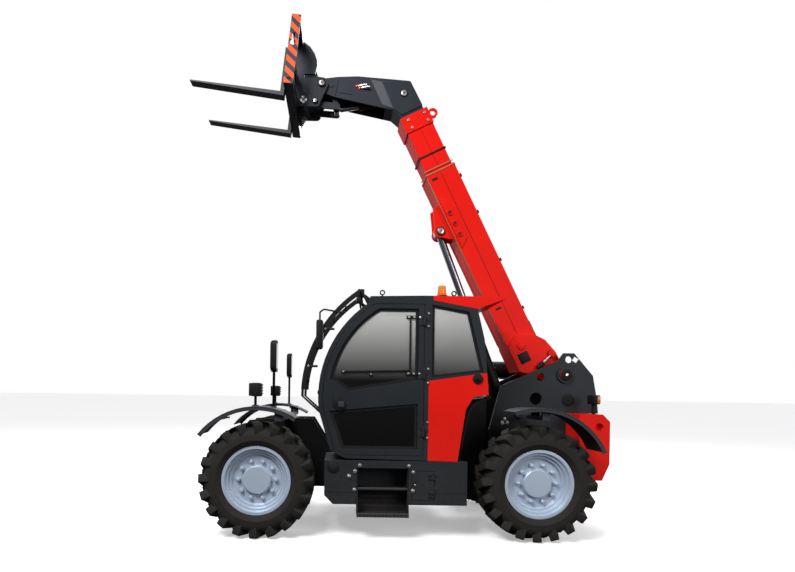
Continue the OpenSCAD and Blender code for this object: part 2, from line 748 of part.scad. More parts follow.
// Cab values
cab_h = cab_top_z - cab_low_z;
cab_back = 504;
cab_ahead = 627;
cab_l = front_x - cab_ahead - cab_back;
screen_ahead = 611;
screen_x = front_x - screen_ahead - screen_r;
screen_drop_share = 0.8927;
screen_z = cab_top_z - screen_drop_share * screen_r;
screen_from = -7;
screen_to = 55;
visor_share = 0.333;
visor_x = cab_back + visor_share * cab_l;
roof_t = 50;
rail = 45;
door_share = 0.3832;
door_x = cab_back + door_share * cab_l;
door_low_z = 850;
door_drop = 86;
door_top_z = cab_top_z - door_drop;
door_frame = 62;
door_nose_behind = 781;
door_nose_x = front_x - door_nose_behind;
door_nose_z = 905;
door_toe_behind = 911;
door_toe_x = front_x - door_toe_behind;
panel_share = 0.3565;
panel_x = cab_back + panel_share * cab_l;
panel_z = [1620, 1712];
right_in_y = cab_in_y + wall_t;
left_in_y = cab_out_y - wall_t;
sill_t = 50;
front_low_shares = [[0.18, 0], [0.846, 0.012], [0.935, 0.06]];
rear_shares = [[0.072, 0.924], [0.028, 0.738], [0, 0.406], [0.088, 0.393], [0.134, 0.314]];
visor_step_share = 0.973;
function on_cab(s) = [cab_back + s[0] * cab_l, cab_low_z + s[1] * cab_h];

// Side outline of the cab, from the rear of the floor round the windscreen and over the roof
function cab_outline() = concat([for (s = front_low_shares) on_cab(s)],
  arc(screen_x, screen_z, screen_r, screen_from, screen_to),
  [[screen_x + screen_r * cos(screen_to) - roof_t / 2, cab_top_z - roof_t / 4], [door_x, cab_top_z],
   [visor_x, cab_top_z], [visor_x, cab_low_z + visor_step_share * cab_h]],
  [for (s = rear_shares) on_cab(s)]);
// Outline of the door opening, or of the door with a gap all round
function door_outline(gap) = let (r = screen_r - rail - gap) concat(
  [[door_x + gap, door_low_z + gap], [door_toe_x, door_low_z + gap], [door_nose_x - gap, door_nose_z]],
  arc(screen_x, screen_z, r, screen_from, asin((door_top_z - gap - screen_z) / r)),
  [[door_x + gap, door_top_z - gap]]);
upper_low_shares = [[0, 0.501], [0.775, 0.423], [0.947, 0.495]];
upper_top_share = 0.968;
lower_shares = [[0, 0.043], [0.842, 0.043], [0.992, 0.29], [0, 0.344]];
door_h = door_top_z - door_low_z;
door_l = door_nose_x - door_x;
// Outlines of the upper and the lower pane in the door
function upper_pane() = let (r = screen_r - rail - door_frame, low = upper_low_shares[2][1] * door_h,
    top = door_low_z + upper_top_share * door_h) concat(
  sized(upper_low_shares, door_l, door_h, door_x + door_frame, door_low_z),
  arc(screen_x, screen_z, r, asin((door_low_z + low - screen_z) / r), asin((top - screen_z) / r)),
  [[door_x + door_frame, top]]);
function lower_pane() = sized(lower_shares, door_l, door_h, door_x + door_frame, door_low_z);
quarter_shares = [[0.34, 0.945], [0.12, 0.905], [0.033, 0.544], [0.339, 0.504]];
right_back_shares = [0.13, 0.16];
right_z_shares = [0.42, 0.93];
rear_window_y = [430, 870];
rear_window_shares = [0.46, 0.88];

// Outline of the right window, whose front edge follows the windscreen
function right_pane() = let (r = screen_r - rail - door_frame,
    z = [for (s = right_z_shares) cab_low_z + s * cab_h]) concat(
    [[cab_back + right_back_shares[0] * cab_l, z[0]]],
    arc(screen_x, screen_z, r, asin((z[0] - screen_z) / r), asin((z[1] - screen_z) / r)),
    [[cab_back + right_back_shares[1] * cab_l, z[1]]]);
// Red cover low behind the door, down to the arch
function panel_area() = [[cab_back - over, cab_low_z - over], [panel_x, cab_low_z - over],
  [panel_x, panel_z[0]], [cab_back - over, panel_z[1]]];
module cab_floor() {
  color(black) machine() block([on_cab(front_low_shares[0])[0] + wall_t, right_in_y, cab_low_z],
    [on_cab(front_low_shares[1])[0] - wall_t, left_in_y, cab_low_z + sill_t]);
}
module cab_left_frame() {
  color(anthracite) machine() difference() {
    slab(cab_outline(), left_in_y, cab_out_y);
    slab(door_outline(0), left_in_y - over, cab_out_y + over);
    slab(sized(quarter_shares, cab_l, cab_h, cab_back, cab_low_z), left_in_y - over, cab_out_y + over);
    slab(panel_area(), left_in_y - over, cab_out_y + over);
  }
  color(anthracite) machine() for (s = door_hinge_shares)
    hinge_half(door_x + clear, cab_out_y, door_hinge(s) + door_hinge_h + skin, door_hinge_d, door_hinge_h,
      panel_x - door_x - clear);
}
module side_panel() {
  color(red) machine() intersection() {
    slab(cab_outline(), left_in_y, cab_out_y);
    slab(panel_area(), left_in_y - over, cab_out_y + over);
  }
}
module cab_right_frame() {
  color(anthracite) machine() difference() {
    slab(cab_outline(), cab_in_y, right_in_y);
    slab(right_pane(), cab_in_y - over, right_in_y + over);
  }
}
// Lower front wall between the side frames, up to the windscreen
module cab_front_panel() {
  toe = on_cab(front_low_shares[1]);
  nose = on_cab(front_low_shares[2]);
  r = screen_r;
  brow = [screen_x + r * cos(screen_from), screen_z + r * sin(screen_from)];
  color(anthracite) machine()
    slab([[toe[0] - wall_t, cab_low_z], toe, nose, brow, brow - [wall_t, 0], nose - [wall_t, 0],
      [toe[0] - wall_t, cab_low_z + sill_t]], right_in_y, left_in_y);
}
// Rear wall between the side frames, with its window cut
module cab_rear_frame() {
  outer = [for (s = rear_shares) on_cab(s)];
  foot = on_cab(front_low_shares[0]);
  path = concat(outer, [foot]);
  inner = [for (i = [len(path) - 1 : -1 : 0]) path[i] + [wall_t, 0]];
  color(anthracite) machine() difference() {
    slab(concat(path, inner), right_in_y, left_in_y);
    block([cab_back - over, rear_window_y[0], cab_low_z + rear_window_shares[0] * cab_h],
      [cab_back + 4 * wall_t, rear_window_y[1], cab_low_z + rear_window_shares[1] * cab_h]);
  }
}
// Roof between the side frames
module cab_roof() {
  front_x0 = screen_x + screen_r * cos(screen_to);
  rear = on_cab(rear_shares[0]);
  step_z = cab_low_z + visor_step_share * cab_h;
  color(black) machine() slab([[front_x0 - roof_t, cab_top_z - 2 * roof_t],
    [front_x0, screen_z + screen_r * sin(screen_to)], [front_x0 - roof_t / 2, cab_top_z - roof_t / 4],
    [door_x, cab_top_z], [visor_x, cab_top_z], [visor_x, step_z],
    rear, rear + [wall_t, 0], [visor_x, step_z - roof_t]], right_in_y, left_in_y);
}
// Visor values
visor_over = 162;
visor_back = cab_back - visor_over;
visor_edge = 22;
module roof_visor() {
  rear = on_cab(rear_shares[0]);
  color(red) machine() slab([[visor_x, cab_top_z], [visor_x, cab_low_z + visor_step_share * cab_h], rear,
    [visor_back, cab_top_z - visor_edge], [visor_back, cab_top_z]], cab_in_y, cab_out_y);
}
// Panes of the cab: windscreen, right side, left quarter and rear
pane_back = 20;
pane_to = screen_to - 2 * asin(pane_back / screen_r);
module cab_windows() {
  pane = screen_r - pane_back;
  color(tint, 0.5) machine() {
    slab(concat(arc(screen_x, screen_z, pane, screen_from, pane_to),
      arc(screen_x, screen_z, pane - glass_t, pane_to, screen_from)), right_in_y, left_in_y);
    slab(right_pane(), cab_in_y + pane_back, cab_in_y + pane_back + glass_t);
    slab(sized(quarter_shares, cab_l, cab_h, cab_back, cab_low_z), cab_out_y - pane_back - glass_t,
      cab_out_y - pane_back);
    intersection() {
      slab(concat([for (s = rear_shares) on_cab(s) + [pane_back, 0]],
        [for (i = [len(rear_shares) - 1 : -1 : 0]) on_cab(rear_shares[i]) + [pane_back + glass_t, 0]]),
        right_in_y, left_in_y);
      block([cab_back - over, rear_window_y[0], cab_low_z + rear_window_shares[0] * cab_h],
        [cab_back + 4 * wall_t, rear_window_y[1], cab_low_z + rear_window_shares[1] * cab_h]);
    }
  }
}
// Guard values
guard_out = 180;
guard_w = 26;
guard_t = 12;
guard_from = 0;
guard_to = 56;
guard_ys = [400, 890];
guard_bar_d = 16;
guard_bars = 6;
guard_foot_share = 0.1;
// Curved bars that stand in front of the windscreen, tied to the roof and to the front panel
module windscreen_guard() {
  r = screen_r + guard_out;
  low = arc(screen_x, screen_z, r, guard_from, guard_to)[0];
  top = arc(screen_x, screen_z, r, guard_from, guard_to)[arc_steps];
  brow = [screen_x + screen_r * cos(screen_from), screen_z + screen_r * sin(screen_from)];
  nose = on_cab(front_low_shares[2]);
  roof_front = [screen_x + screen_r * cos(screen_to), screen_z + screen_r * sin(screen_to)];
  roof = [roof_front[0] - roof_t / 2, cab_top_z - roof_t / 4];
  color(black) machine() {
    for (y = guard_ys) {
      slab(concat(arc(screen_x, screen_z, r, guard_from, guard_to),
        arc(screen_x, screen_z, r - guard_w, guard_to, guard_from)), y, y + guard_t);
      slab([low, low - [guard_w, 0], brow, brow + guard_foot_share * (nose - brow)], y, y + guard_t);
      slab([top, roof_front, roof, top - guard_w * [cos(guard_to), sin(guard_to)]], y, y + guard_t);
    }
    for (i = [1 : guard_bars]) {
      t = guard_from + (guard_to - guard_from) * i / (guard_bars + 1);
      bar(screen_x + (r - guard_w / 2) * cos(t), screen_z + (r - guard_w / 2) * sin(t), guard_bar_d,
        guard_ys[0], guard_ys[1] + guard_t);
    }
  }
}
// Beacon values
beacon_behind = 121;
beacon_at = [visor_x - beacon_behind, 800];
beacon_d = 120;
beacon_base_h = 40;
beacon_h = 100;
module beacon() {
  color(amber) machine() translate([beacon_at[0], beacon_at[1], cab_top_z]) {
    cylinder(d = beacon_d, h = beacon_base_h);
    translate([0, 0, beacon_base_h])
      cylinder(d1 = beacon_d - visor_edge, d2 = beacon_d - 2 * visor_edge, h = beacon_h);
  }
}
// Seat values
seat_shares = [0.247, 0.531];
seat_x = [for (s = seat_shares) cab_back + s * cab_l];
seat_y = [430, 870];
seat_z = [1150, 1290];
seat_foot = 90;
back_t = 130;
back_top_z = 1950;
back_lean = 90;
module seat_base() {
  color(black) machine() {
    block([seat_x[0] + seat_foot, seat_y[0] + seat_foot, cab_low_z + sill_t],
      [seat_x[1] - seat_foot, seat_y[1] - seat_foot, seat_z[0] - wall_t]);
    block([seat_x[0], seat_y[0], seat_z[0] - wall_t], [seat_x[1], seat_y[1], seat_z[0] - skin]);
  }
}
// Seat cushion and back as two plain solids
module seat_cushions() {
  color(black) machine() {
    block([seat_x[0], seat_y[0], seat_z[0]], [seat_x[1], seat_y[1], seat_z[1]]);
    slab([[seat_x[0], seat_z[1] + skin], [seat_x[0] + back_t, seat_z[1] + skin],
      [seat_x[0] + back_t - back_lean, back_top_z], [seat_x[0] - back_lean, back_top_z]],
      seat_y[0], seat_y[1]);
  }
}
// Steering values
column_behind = 245;
column_lean = 140;
column_low = [door_nose_x - column_behind, cab_low_z + sill_t];
column_top_z = 1400;
column_top = [column_low[0] - column_lean, column_top_z];
column_d = 90;
column_y = 650;
wheel_d = 380;
grip_d = 30;
boss_d = 110;
module steering_column() {
  run = column_top - column_low;
  color(black) machine() translate([0, column_y, 0]) {
    translate([column_low[0], 0, column_low[1]]) rotate([0, atan2(run[0], run[1]), 0]) {
      translate([0, 0, column_d / 4]) cylinder(d = column_d, h = norm(run) - column_d / 4);
      translate([0, 0, norm(run)]) {
        rotate_extrude() translate([wheel_d / 2, 0]) circle(d = grip_d);
        cylinder(d = boss_d, h = grip_d, center = true);
        for (a = [0, 120, 240]) rotate([0, 0, a]) translate([0, -grip_d / 2, -grip_d / 4])
          cube([wheel_d / 2, grip_d, grip_d / 2]);
      }
    }
    block([column_low[0] - boss_d, -boss_d, column_low[1]],
      [column_low[0] + boss_d / 2, boss_d, column_low[1] + boss_d]);
  }
}
// Console values
console_shift = 35;
console_w = 66;
console_x = [seat_x[0] + console_shift, seat_x[1] + console_shift];
console_top_z = 1330;
stick_d = 24;
stick_h = 160;
// Console on the inner wall, with the control lever
module control_console() {
  color(black) machine() {
    block([console_x[0], right_in_y, cab_low_z + sill_t],
      [console_x[1], right_in_y + console_w, console_top_z]);
    translate([console_x[1] - console_w, right_in_y + console_w / 2, console_top_z])
      cylinder(d = stick_d, h = stick_h);
  }
}
// Door values
door_hinge_d = 26;
door_hinge_h = 50;
door_hinge_shares = [0.16, 0.54, 0.89];
door_leaf = 60;
function door_hinge(s) = door_low_z + s * door_h - door_hinge_h;
module cab_door() {
  color(anthracite) machine() {
    difference() {
      slab(door_outline(clear), left_in_y, cab_out_y);
      slab(upper_pane(), left_in_y - over, cab_out_y + over);
      slab(lower_pane(), left_in_y - over, cab_out_y + over);
    }
    for (s = door_hinge_shares)
      hinge_half(door_x + clear, cab_out_y, door_hinge(s), door_hinge_d, door_hinge_h, door_leaf);
  }
}
module door_glass() {
  color(tint, 0.5) machine() {
    slab(upper_pane(), cab_out_y - pane_back - glass_t, cab_out_y - pane_back);
    slab(lower_pane(), cab_out_y - pane_back - glass_t, cab_out_y - pane_back);
  }
}

// Outline moved inwards by a wall, for points that run anticlockwise
function unit(v) = v / norm(v);
function left_of(v) = [-v[1], v[0]];
function inset(points, t) = let (n = len(points)) [for (i = [0 : n - 1])
  let (here = points[i], n1 = left_of(unit(here - points[(i + n - 1) % n])),
    n2 = left_of(unit(points[(i + 1) % n] - here))) here + t * (n1 + n2) / (1 + n1 * n2)];
// Flat link with round ends between two points, between two places in Y
module flat_link(from, to, d, y0, y1) {
  side = left_of(unit(to - from)) * d / 2;
  slab([from + side, from - side, to - side, to + side], y0, y1);
  bar(from[0], from[1], d, y0, y1);
  bar(to[0], to[1], d, y0, y1);
}

// Boom values, along the boom and square to it from the pivot
boom_drop = 250;
outer_back = 247;
inner_back = 320;
foot_t = 30;
foot_r = 80;
foot_shares = [[0.68, -1.18], [1.53, -1.18], [1.8, -0.76], [1.53, -0.21], [1.26, 0], [0.77, 0.14],
  [0.45, 0.15]];
pin_head_d = 130;
pin_head_t = 15;
lift_at = [2162, -543];
lift_eye_w = 130;
lift_eye_d = 130;
cheek_t = 25;
cheek_front = 290;
cheek_back = 160;
cheek_r = 75;
cheek_low = 74;
pad_l_mouth = 120;
inner_w = outer_w - 2 * boom_wall - 2 * slide_gap;
inner_h = outer_h - 2 * boom_wall - 2 * slide_gap;
outer_low_p = -boom_drop - outer_h / 2;
collar_a = mouth_a + reach_a;
collar_l = 192;
collar_more = 12;
head_a = collar_a + collar_l;
eye_lug_d = 100;
eye_lug_w = 40;
eye_bore_d = 44;

// Box section along the boom, open at both ends
module box_tube(from, to, w, h, wall) {
  difference() {
    block([from, -w / 2, -boom_drop - h / 2], [to, w / 2, -boom_drop + h / 2]);
    block([from - over, -w / 2 + wall, -boom_drop - h / 2 + wall],
      [to + over, w / 2 - wall, -boom_drop + h / 2 - wall]);
  }
}
// Outer section with its foot, pivot pin, lift bracket and wear pads
module boom_outer() {
  pad = slide_gap - fit;
  side = outer_w / 2;
  foot = concat(arc(0, 0, foot_r, 110, 250), [for (s = foot_shares) s * outer_h]);
  cheek = concat([[lift_at[0] - cheek_back, outer_low_p]], arc(lift_at[0], lift_at[1], cheek_r, 200, 320),
    [[lift_at[0] + cheek_front, outer_low_p - cheek_low], [lift_at[0] + cheek_front, outer_low_p]]);
  color(red) machine() boom_frame() {
    box_tube(outer_back, mouth_a, outer_w, outer_h, boom_wall);
    both() {
      slab(foot, side, side + foot_t);
      bar(0, 0, 2 * foot_r, side, plate_y - clear);
      bar(0, 0, pivot_pin_d - 2 * fit, side, plate_out_y + plate_t + skin + pin_head_t);
      bar(0, 0, pin_head_d, plate_out_y + plate_t + skin, plate_out_y + plate_t + skin + pin_head_t);
      slab(cheek, lift_eye_w / 2 + clear, lift_eye_w / 2 + clear + cheek_t);
      bar(lift_at[0], lift_at[1], lift_pin_d, lift_eye_w / 2 + clear,
        lift_eye_w / 2 + clear + cheek_t + pin_head_t);
      block([mouth_a - pad_l_mouth, inner_w / 2 + fit, -boom_drop - inner_h / 4],
        [mouth_a, side - boom_wall, -boom_drop + inner_h / 4]);
    }
    for (p = [-boom_drop - outer_h / 2 + boom_wall, -boom_drop + inner_h / 2 + fit])
      block([mouth_a - pad_l_mouth, -inner_w / 4, p], [mouth_a, inner_w / 4, p + pad]);
  }
}
// Inner section with the collar and its eye
module boom_inner() {
  top = -boom_drop + inner_h / 2 + collar_more;
  color(red) machine() boom_frame() {
    box_tube(inner_back, collar_a + over, inner_w, inner_h, boom_wall);
    difference() {
      union() {
        block([collar_a, -inner_w / 2 - collar_more, -boom_drop - inner_h / 2 - collar_more],
          [head_a, inner_w / 2 + collar_more, top]);
        bar(collar_a + collar_l / 2, top, eye_lug_d, -eye_lug_w / 2, eye_lug_w / 2);
      }
      block([collar_a - over, -inner_w / 2 + boom_wall, -boom_drop - inner_h / 2 + boom_wall],
        [head_a - 2 * boom_wall, inner_w / 2 - boom_wall, -boom_drop + inner_h / 2 - boom_wall]);
      bar(collar_a + collar_l / 2, top + eye_lug_d / 4, eye_bore_d, -eye_lug_w, eye_lug_w);
    }
  }
}

// Head values
neck_l = 766;
neck_h = 843;
tip_at = [head_a + neck_l, -boom_drop - neck_h];
neck_w = 260;
neck_wall = 15;
tip_r = 78;
neck_low_shares = [[0.752, -0.905], [0.185, -0.241], [0, -0.166]];
neck_top_shares = [[0, 0.159], [0.48, 0.152], [0.889, -0.486], [1.013, -0.745]];
base_share = [0.338, -0.005];
rocker_share = [0.933, -0.873];
tip_pin_d = 60;
base_pin_d = 40;
rocker_pin_d = 44;
slot_shares = [[0.311, -0.285], [0.789, -0.86], [0.96, -0.961], [0.96, -1.25], [0, -1.25], [0, -0.55]];
function on_neck(s) = [head_a + s[0] * neck_l, -boom_drop + s[1] * neck_h];
base_at = on_neck(base_share);
rocker_at = on_neck(rocker_share);

// Cranked head with hollow sides, open below, and the pins of the tilt linkage
module boom_head() {
  outline = concat([for (i = [len(neck_low_shares) - 1 : -1 : 0]) on_neck(neck_low_shares[i])],
    arc(tip_at[0], tip_at[1], tip_r, -150, 15),
    [for (i = [len(neck_top_shares) - 1 : -1 : 0]) on_neck(neck_top_shares[i])]);
  color(slate) machine() boom_frame() {
    difference() {
      slab(outline, -neck_w / 2, neck_w / 2);
      slab(inset(outline, neck_wall), -neck_w / 2 + neck_wall, neck_w / 2 - neck_wall);
      slab([for (s = slot_shares) on_neck(s)], -neck_w / 2 + neck_wall, neck_w / 2 - neck_wall);
    }
    bar(base_at[0], base_at[1], base_pin_d, -neck_w / 2 - pin_head_t, neck_w / 2 + pin_head_t);
    bar(rocker_at[0], rocker_at[1], rocker_pin_d, -neck_w / 2 - pin_head_t / 2, neck_w / 2 + pin_head_t / 2);
    bar(tip_at[0], tip_at[1], tip_pin_d, -ear_out - pin_head_t, ear_out + pin_head_t);
  }
}

// Tilt linkage values
arm_from_tip = [-286, 63];
link_from_tip = [-156, -159];
arm_end = tip_at + arm_from_tip;
link_end = tip_at + link_from_tip;
tilt_eye_d = 96;
eye_half_w = 40;
rocker_y = [60, 80];
link_y = [85, 105];
rocker_hub_d = 90;
rocker_bar_d = 56;
link_bar_d = 74;
link_pin_d = 36;
link_boss = 7;
tilt_barrel_l = 540;
tilt_rod_l = 540;
gland_l = 40;

// Frame of a cylinder: Z runs from its base to its eye
module along(from, to) {
  run = to - from;
  translate([from[0], 0, from[1]]) rotate([0, atan2(run[0], run[1]), 0]) children();
}
// Hollow barrel with a gland at its open end, around the line of its rod
module barrel(d, rod_d, l, gland, foot) {
  rotate_extrude() polygon([[0, 0], [d / 2 - clear, 0], [d / 2 - clear, l - gland], [d / 2, l - gland],
    [d / 2, l],
    [rod_d / 2 + fit, l], [rod_d / 2 + fit, foot], [0, foot]]);
}
module tilt_barrel() {
  color(black) machine() boom_frame() difference() {
    union() {
      bar(base_at[0], base_at[1], tilt_eye_d, -eye_half_w, eye_half_w);
      along(base_at, arm_end) barrel(tilt_d, tilt_rod_d, tilt_barrel_l, gland_l, tilt_d / 2 + clear);
    }
    bar(base_at[0], base_at[1], base_pin_d + 2 * fit, -2 * eye_half_w, 2 * eye_half_w);
  }
}
module tilt_rod() {
  reach = norm(arm_end - base_at);
  color(chrome) machine() boom_frame() {
    along(base_at, arm_end) translate([0, 0, reach - tilt_rod_l]) cylinder(d = tilt_rod_d, h = tilt_rod_l);
    bar(arm_end[0], arm_end[1], tilt_d, -eye_half_w, eye_half_w);
    bar(arm_end[0], arm_end[1], link_pin_d, -rocker_y[0] + fit, rocker_y[0] - fit);
  }
}
module tilt_rocker() {
  color(slate) machine() boom_frame() difference() {
    union() {
      both() flat_link(rocker_at, arm_end, rocker_bar_d, rocker_y[0], rocker_y[1]);
      both() bar(arm_end[0], arm_end[1], link_pin_d, rocker_y[0], link_y[1]);
      bar(rocker_at[0], rocker_at[1], rocker_hub_d, -rocker_y[1], rocker_y[1]);
    }
    bar(rocker_at[0], rocker_at[1], rocker_pin_d + 2 * fit, -2 * rocker_y[1], 2 * rocker_y[1]);
  }
}
module tilt_link() {
  color(slate) machine() boom_frame() both() difference() {
    union() {
      flat_link(arm_end, link_end, link_bar_d, link_y[0], link_y[1]);
      bar(link_end[0], link_end[1], link_bar_d / 2, link_y[0], link_y[1] + link_boss);
    }
    bar(arm_end[0], arm_end[1], link_pin_d + 2 * fit, link_y[0] - over, link_y[1] + over);
  }
}

// Carriage values, forward and up from the carriage pivot
plate_x = [270, 375];
carriage_low = -300;
side_t = 15;
ear_y = 140;
ear_t = 25;
ear_out = ear_y + ear_t;
ear_hub_d = 150;
link_hub = [50, -217];
link_hub_d = 120;
hook_shares = [[0.7, 0.9], [0.47, 0.74], [0.34, 0.58], [0.3, 0.44], [0.35, 0.23], [0.8, 0.19],
  [0.8, 0.08], [0.28, 0.165]];
bar_t = 75;
top_bar_h = 70;
mid_bar_low = -10;
mid_bar_h = 70;
low_bar_h = 100;
key_shares = [0.55, 0.597];
key_d = 65;
key_slot_w = 32;
key_slot_h = 105;
fork_y = 420;
shank_h = 540;
fork_drop = 72;
fork_tip_t = 14;
// Frame of the carriage at its pivot
module carriage_frame() {
  at = on_boom(tip_at);
  translate([at[0], 0, at[1]]) rotate([0, -fork_angle, 0]) children();
}
module fork_carriage() {
  top = carriage_low + carriage_h;
  half = carriage_w / 2;
  back = plate_x[0];
  key = [back + key_shares[0] * (plate_x[1] - back), carriage_low + key_shares[1] * carriage_h];
  ear = concat([[back, carriage_low], [back, top]], sized(hook_shares, back, top),
    arc(0, 0, ear_hub_d / 2, 100, 200),
    arc(link_hub[0], link_hub[1], link_hub_d / 2, 170, 260));
  color(slate) machine() carriage_frame() {
    difference() {
      union() {
        both() slab(ear, ear_y, ear_out);
        both() bar(link_hub[0], link_hub[1], link_pin_d, ear_y - clear, ear_out + pin_head_t);
        both() block([back, half - side_t, carriage_low], [plate_x[1], half, top]);
        block([back, -half + side_t, top - top_bar_h], [plate_x[1], half - side_t, top]);
        block([plate_x[1] - bar_t, -half + side_t, mid_bar_low],
          [plate_x[1], half - side_t, mid_bar_low + mid_bar_h]);
        block([back, -half + side_t, carriage_low], [plate_x[1], half - side_t, carriage_low + low_bar_h]);
        both() block([back, ear_y, carriage_low + low_bar_h], [plate_x[1], ear_out, top - top_bar_h]);
      }
      bar(0, 0, tip_pin_d + 2 * fit, -2 * ear_out, 2 * ear_out);
      both() {
        bar(key[0], key[1], key_d, half - side_t - over, half + over);
        block([key[0] - key_slot_w / 2, half - side_t - over, key[1]],
          [key[0] + key_slot_w / 2, half + over, key[1] + key_slot_h]);
      }
    }
  }
}
module forks() {
  x = plate_x[1];
  low = carriage_low - fork_drop;
  blade = [[x, low], [x + fork_l, low + fork_t - fork_tip_t], [x + fork_l, low + fork_t],
    [x + fork_t, low + fork_t],
    [x + fork_t, low + shank_h], [x, low + shank_h]];
  color(black) machine() carriage_frame() both() slab(blade, fork_y - fork_w / 2, fork_y + fork_w / 2);
}

// Lift cylinder values
lift_barrel_l = 1560;
lift_rod_l = 1430;
lift_gland_l = 60;
lift_foot = 110;
module lift_barrel() {
  pin = on_boom(lift_at);
  color(black) machine() difference() {
    union() {
      bar(lift_base[0], lift_base[1], lift_eye_d, -lift_eye_w / 2, lift_eye_w / 2);
      along(lift_base, pin) barrel(lift_d, lift_rod_d, lift_barrel_l, lift_gland_l, lift_foot);
    }
    bar(lift_base[0], lift_base[1], lift_pin_d + 2 * fit, -lift_eye_w, lift_eye_w);
  }
}
module lift_rod() {
  pin = on_boom(lift_at);
  reach = norm(pin - lift_base);
  color(chrome) machine() {
    along(lift_base, pin) translate([0, 0, reach - lift_rod_l]) cylinder(d = lift_rod_d, h = lift_rod_l);
    bar(pin[0], pin[1], lift_eye_d, -lift_eye_w / 2, lift_eye_w / 2);
  }
}

// Place of the fork tips, and the middle between them and the tower
tip_run = plate_x[1] + fork_l;
tip_rise = carriage_low - fork_drop + fork_t - fork_tip_t;
fork_front = on_boom(tip_at)[0] + tip_run * cos(fork_angle) - tip_rise * sin(fork_angle);
machine_back = weight_back + hitch_reach;
mid_x = (fork_front - machine_back) / 2;

chassis_frame();
rear_counterweight();
rear_hitch();
front_axle();
rear_axle();
engine_block();
engine_tray();
hydraulic_tank();
air_cleaner();
engine_hood();
left_skirt();
steps();
locker_door();
front_fenders();
rear_fenders();
front_posts();
front_lights();
rear_lights();
cab_floor();
cab_left_frame();
cab_right_frame();
cab_front_panel();
cab_rear_frame();
cab_roof();
roof_visor();
side_panel();
cab_windows();
windscreen_guard();
beacon();
seat_base();
seat_cushions();
steering_column();
control_console();
cab_door();
door_glass();
lift_barrel();
lift_rod();
boom_outer();
boom_inner();
boom_head();
tilt_barrel();
tilt_rod();
tilt_rocker();
tilt_link();
fork_carriage();
forks();
knuckle_front_left();
knuckle_front_right();
knuckle_rear_left();
knuckle_rear_right();
rim_front_left();
rim_front_right();
rim_rear_left();
rim_rear_right();
tyre_front_left();
tyre_front_right();
tyre_rear_left();
tyre_rear_right();
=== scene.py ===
# %% [markdown]
# # A telescopic handler, dressed in Blender
#
# The rigid solids of this machine come from a CAD pack. This lesson dresses them: it sets up the studio and the
# camera, mixes the paints, rubber, glass and vinyl, and models what a solid modeller leaves plain, such as rounded
# tyres, soft cushions, bolts, pipes and lamp lenses.

# %% Load the frame
import math

import bmesh
import bpy
from mathutils import Matrix, Vector


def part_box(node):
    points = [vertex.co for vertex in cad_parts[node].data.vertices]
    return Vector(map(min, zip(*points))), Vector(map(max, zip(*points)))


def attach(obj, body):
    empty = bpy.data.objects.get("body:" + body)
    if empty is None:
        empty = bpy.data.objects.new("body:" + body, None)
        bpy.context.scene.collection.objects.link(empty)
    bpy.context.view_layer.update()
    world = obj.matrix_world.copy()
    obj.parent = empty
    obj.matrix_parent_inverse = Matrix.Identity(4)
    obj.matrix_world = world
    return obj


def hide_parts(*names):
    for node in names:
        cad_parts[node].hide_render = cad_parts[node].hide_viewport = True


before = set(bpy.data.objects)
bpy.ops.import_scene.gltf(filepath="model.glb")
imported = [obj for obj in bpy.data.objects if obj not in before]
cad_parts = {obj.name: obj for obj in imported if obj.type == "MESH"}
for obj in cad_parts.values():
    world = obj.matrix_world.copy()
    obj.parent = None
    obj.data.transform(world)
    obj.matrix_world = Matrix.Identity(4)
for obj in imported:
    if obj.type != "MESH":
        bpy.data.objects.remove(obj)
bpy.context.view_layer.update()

# %% [markdown]
# ## Where things are
#
# The CAD source measures in millimetres from the middle of the rear axle on the ground. The pack moves that point
# so that the whole box stands on its middle. Two small helpers turn the source's numbers into places in this
# scene: one for the machine, one for points along the boom, which leans back from its pivot.

# %% Places on the machine and along the boom
REAR_AXLE_X = -1.36
FRONT_AXLE_X = 1.496
AXLE_Z = 0.59
BOOM_LEAN, CARRIAGE_LEAN = math.radians(64), math.radians(6.5)
BOOM_PIVOT, LIFT_FOOT = (-595, 1735), (-150, 840)
LIFT_PIN, CARRIAGE_PIVOT, BOOM_MOUTH = (2162, -543), (4328, -1093), (2830, -250)
SIDES = (1, -1)
AHEAD, LEFT, UP = (1, 0, 0), (0, 1, 0), (0, 0, 1)
SAME_PLACE = 1e-5


def place(x, y, z):
    """A point of the machine, from millimetres."""
    return Vector((REAR_AXLE_X + x / 1000, y / 1000, z / 1000))


def on_boom(along, off, y):
    """A point along the boom and square to it, from millimetres."""
    c, s = math.cos(BOOM_LEAN), math.sin(BOOM_LEAN)
    return place(BOOM_PIVOT[0] + along * c - off * s, y, BOOM_PIVOT[1] + along * s + off * c)


BOOM_TURN = Matrix.Translation(on_boom(0, 0, 0)) @ Matrix.Rotation(-BOOM_LEAN, 4, "Y")
print("boom mouth at", tuple(on_boom(*BOOM_MOUTH, 0)))

# %% [markdown]
# ## Camera and studio
#
# The photograph was taken with a wide lens at about the height of the door handle, square to the left side. A lens
# that looks straight at the side keeps the wheels round, and the shift moves the picture up to the boom instead of
# tilting the camera. The floor and the world are pale and almost white, so the machine stands alone, but neither
# throws light up from below: the underside stays dark, as it is in the photograph.

# %% Camera
CAMERA_SPOT = (0.683, 6.2, 1.465)
CAMERA_ROLL = math.radians(-0.8)
lens = bpy.data.cameras.new("side_lens")
lens.sensor_width = 36.0
lens.lens = 23.1
lens.shift_x = 0.075
lens.shift_y = 0.137
camera = bpy.data.objects.new("side_camera", lens)
camera.location = CAMERA_SPOT
camera.rotation_euler = (math.radians(90), CAMERA_ROLL, math.radians(180))
bpy.context.scene.collection.objects.link(camera)
bpy.context.scene.camera = camera
print("camera stands", CAMERA_SPOT[1], "m to the left of the machine's middle")

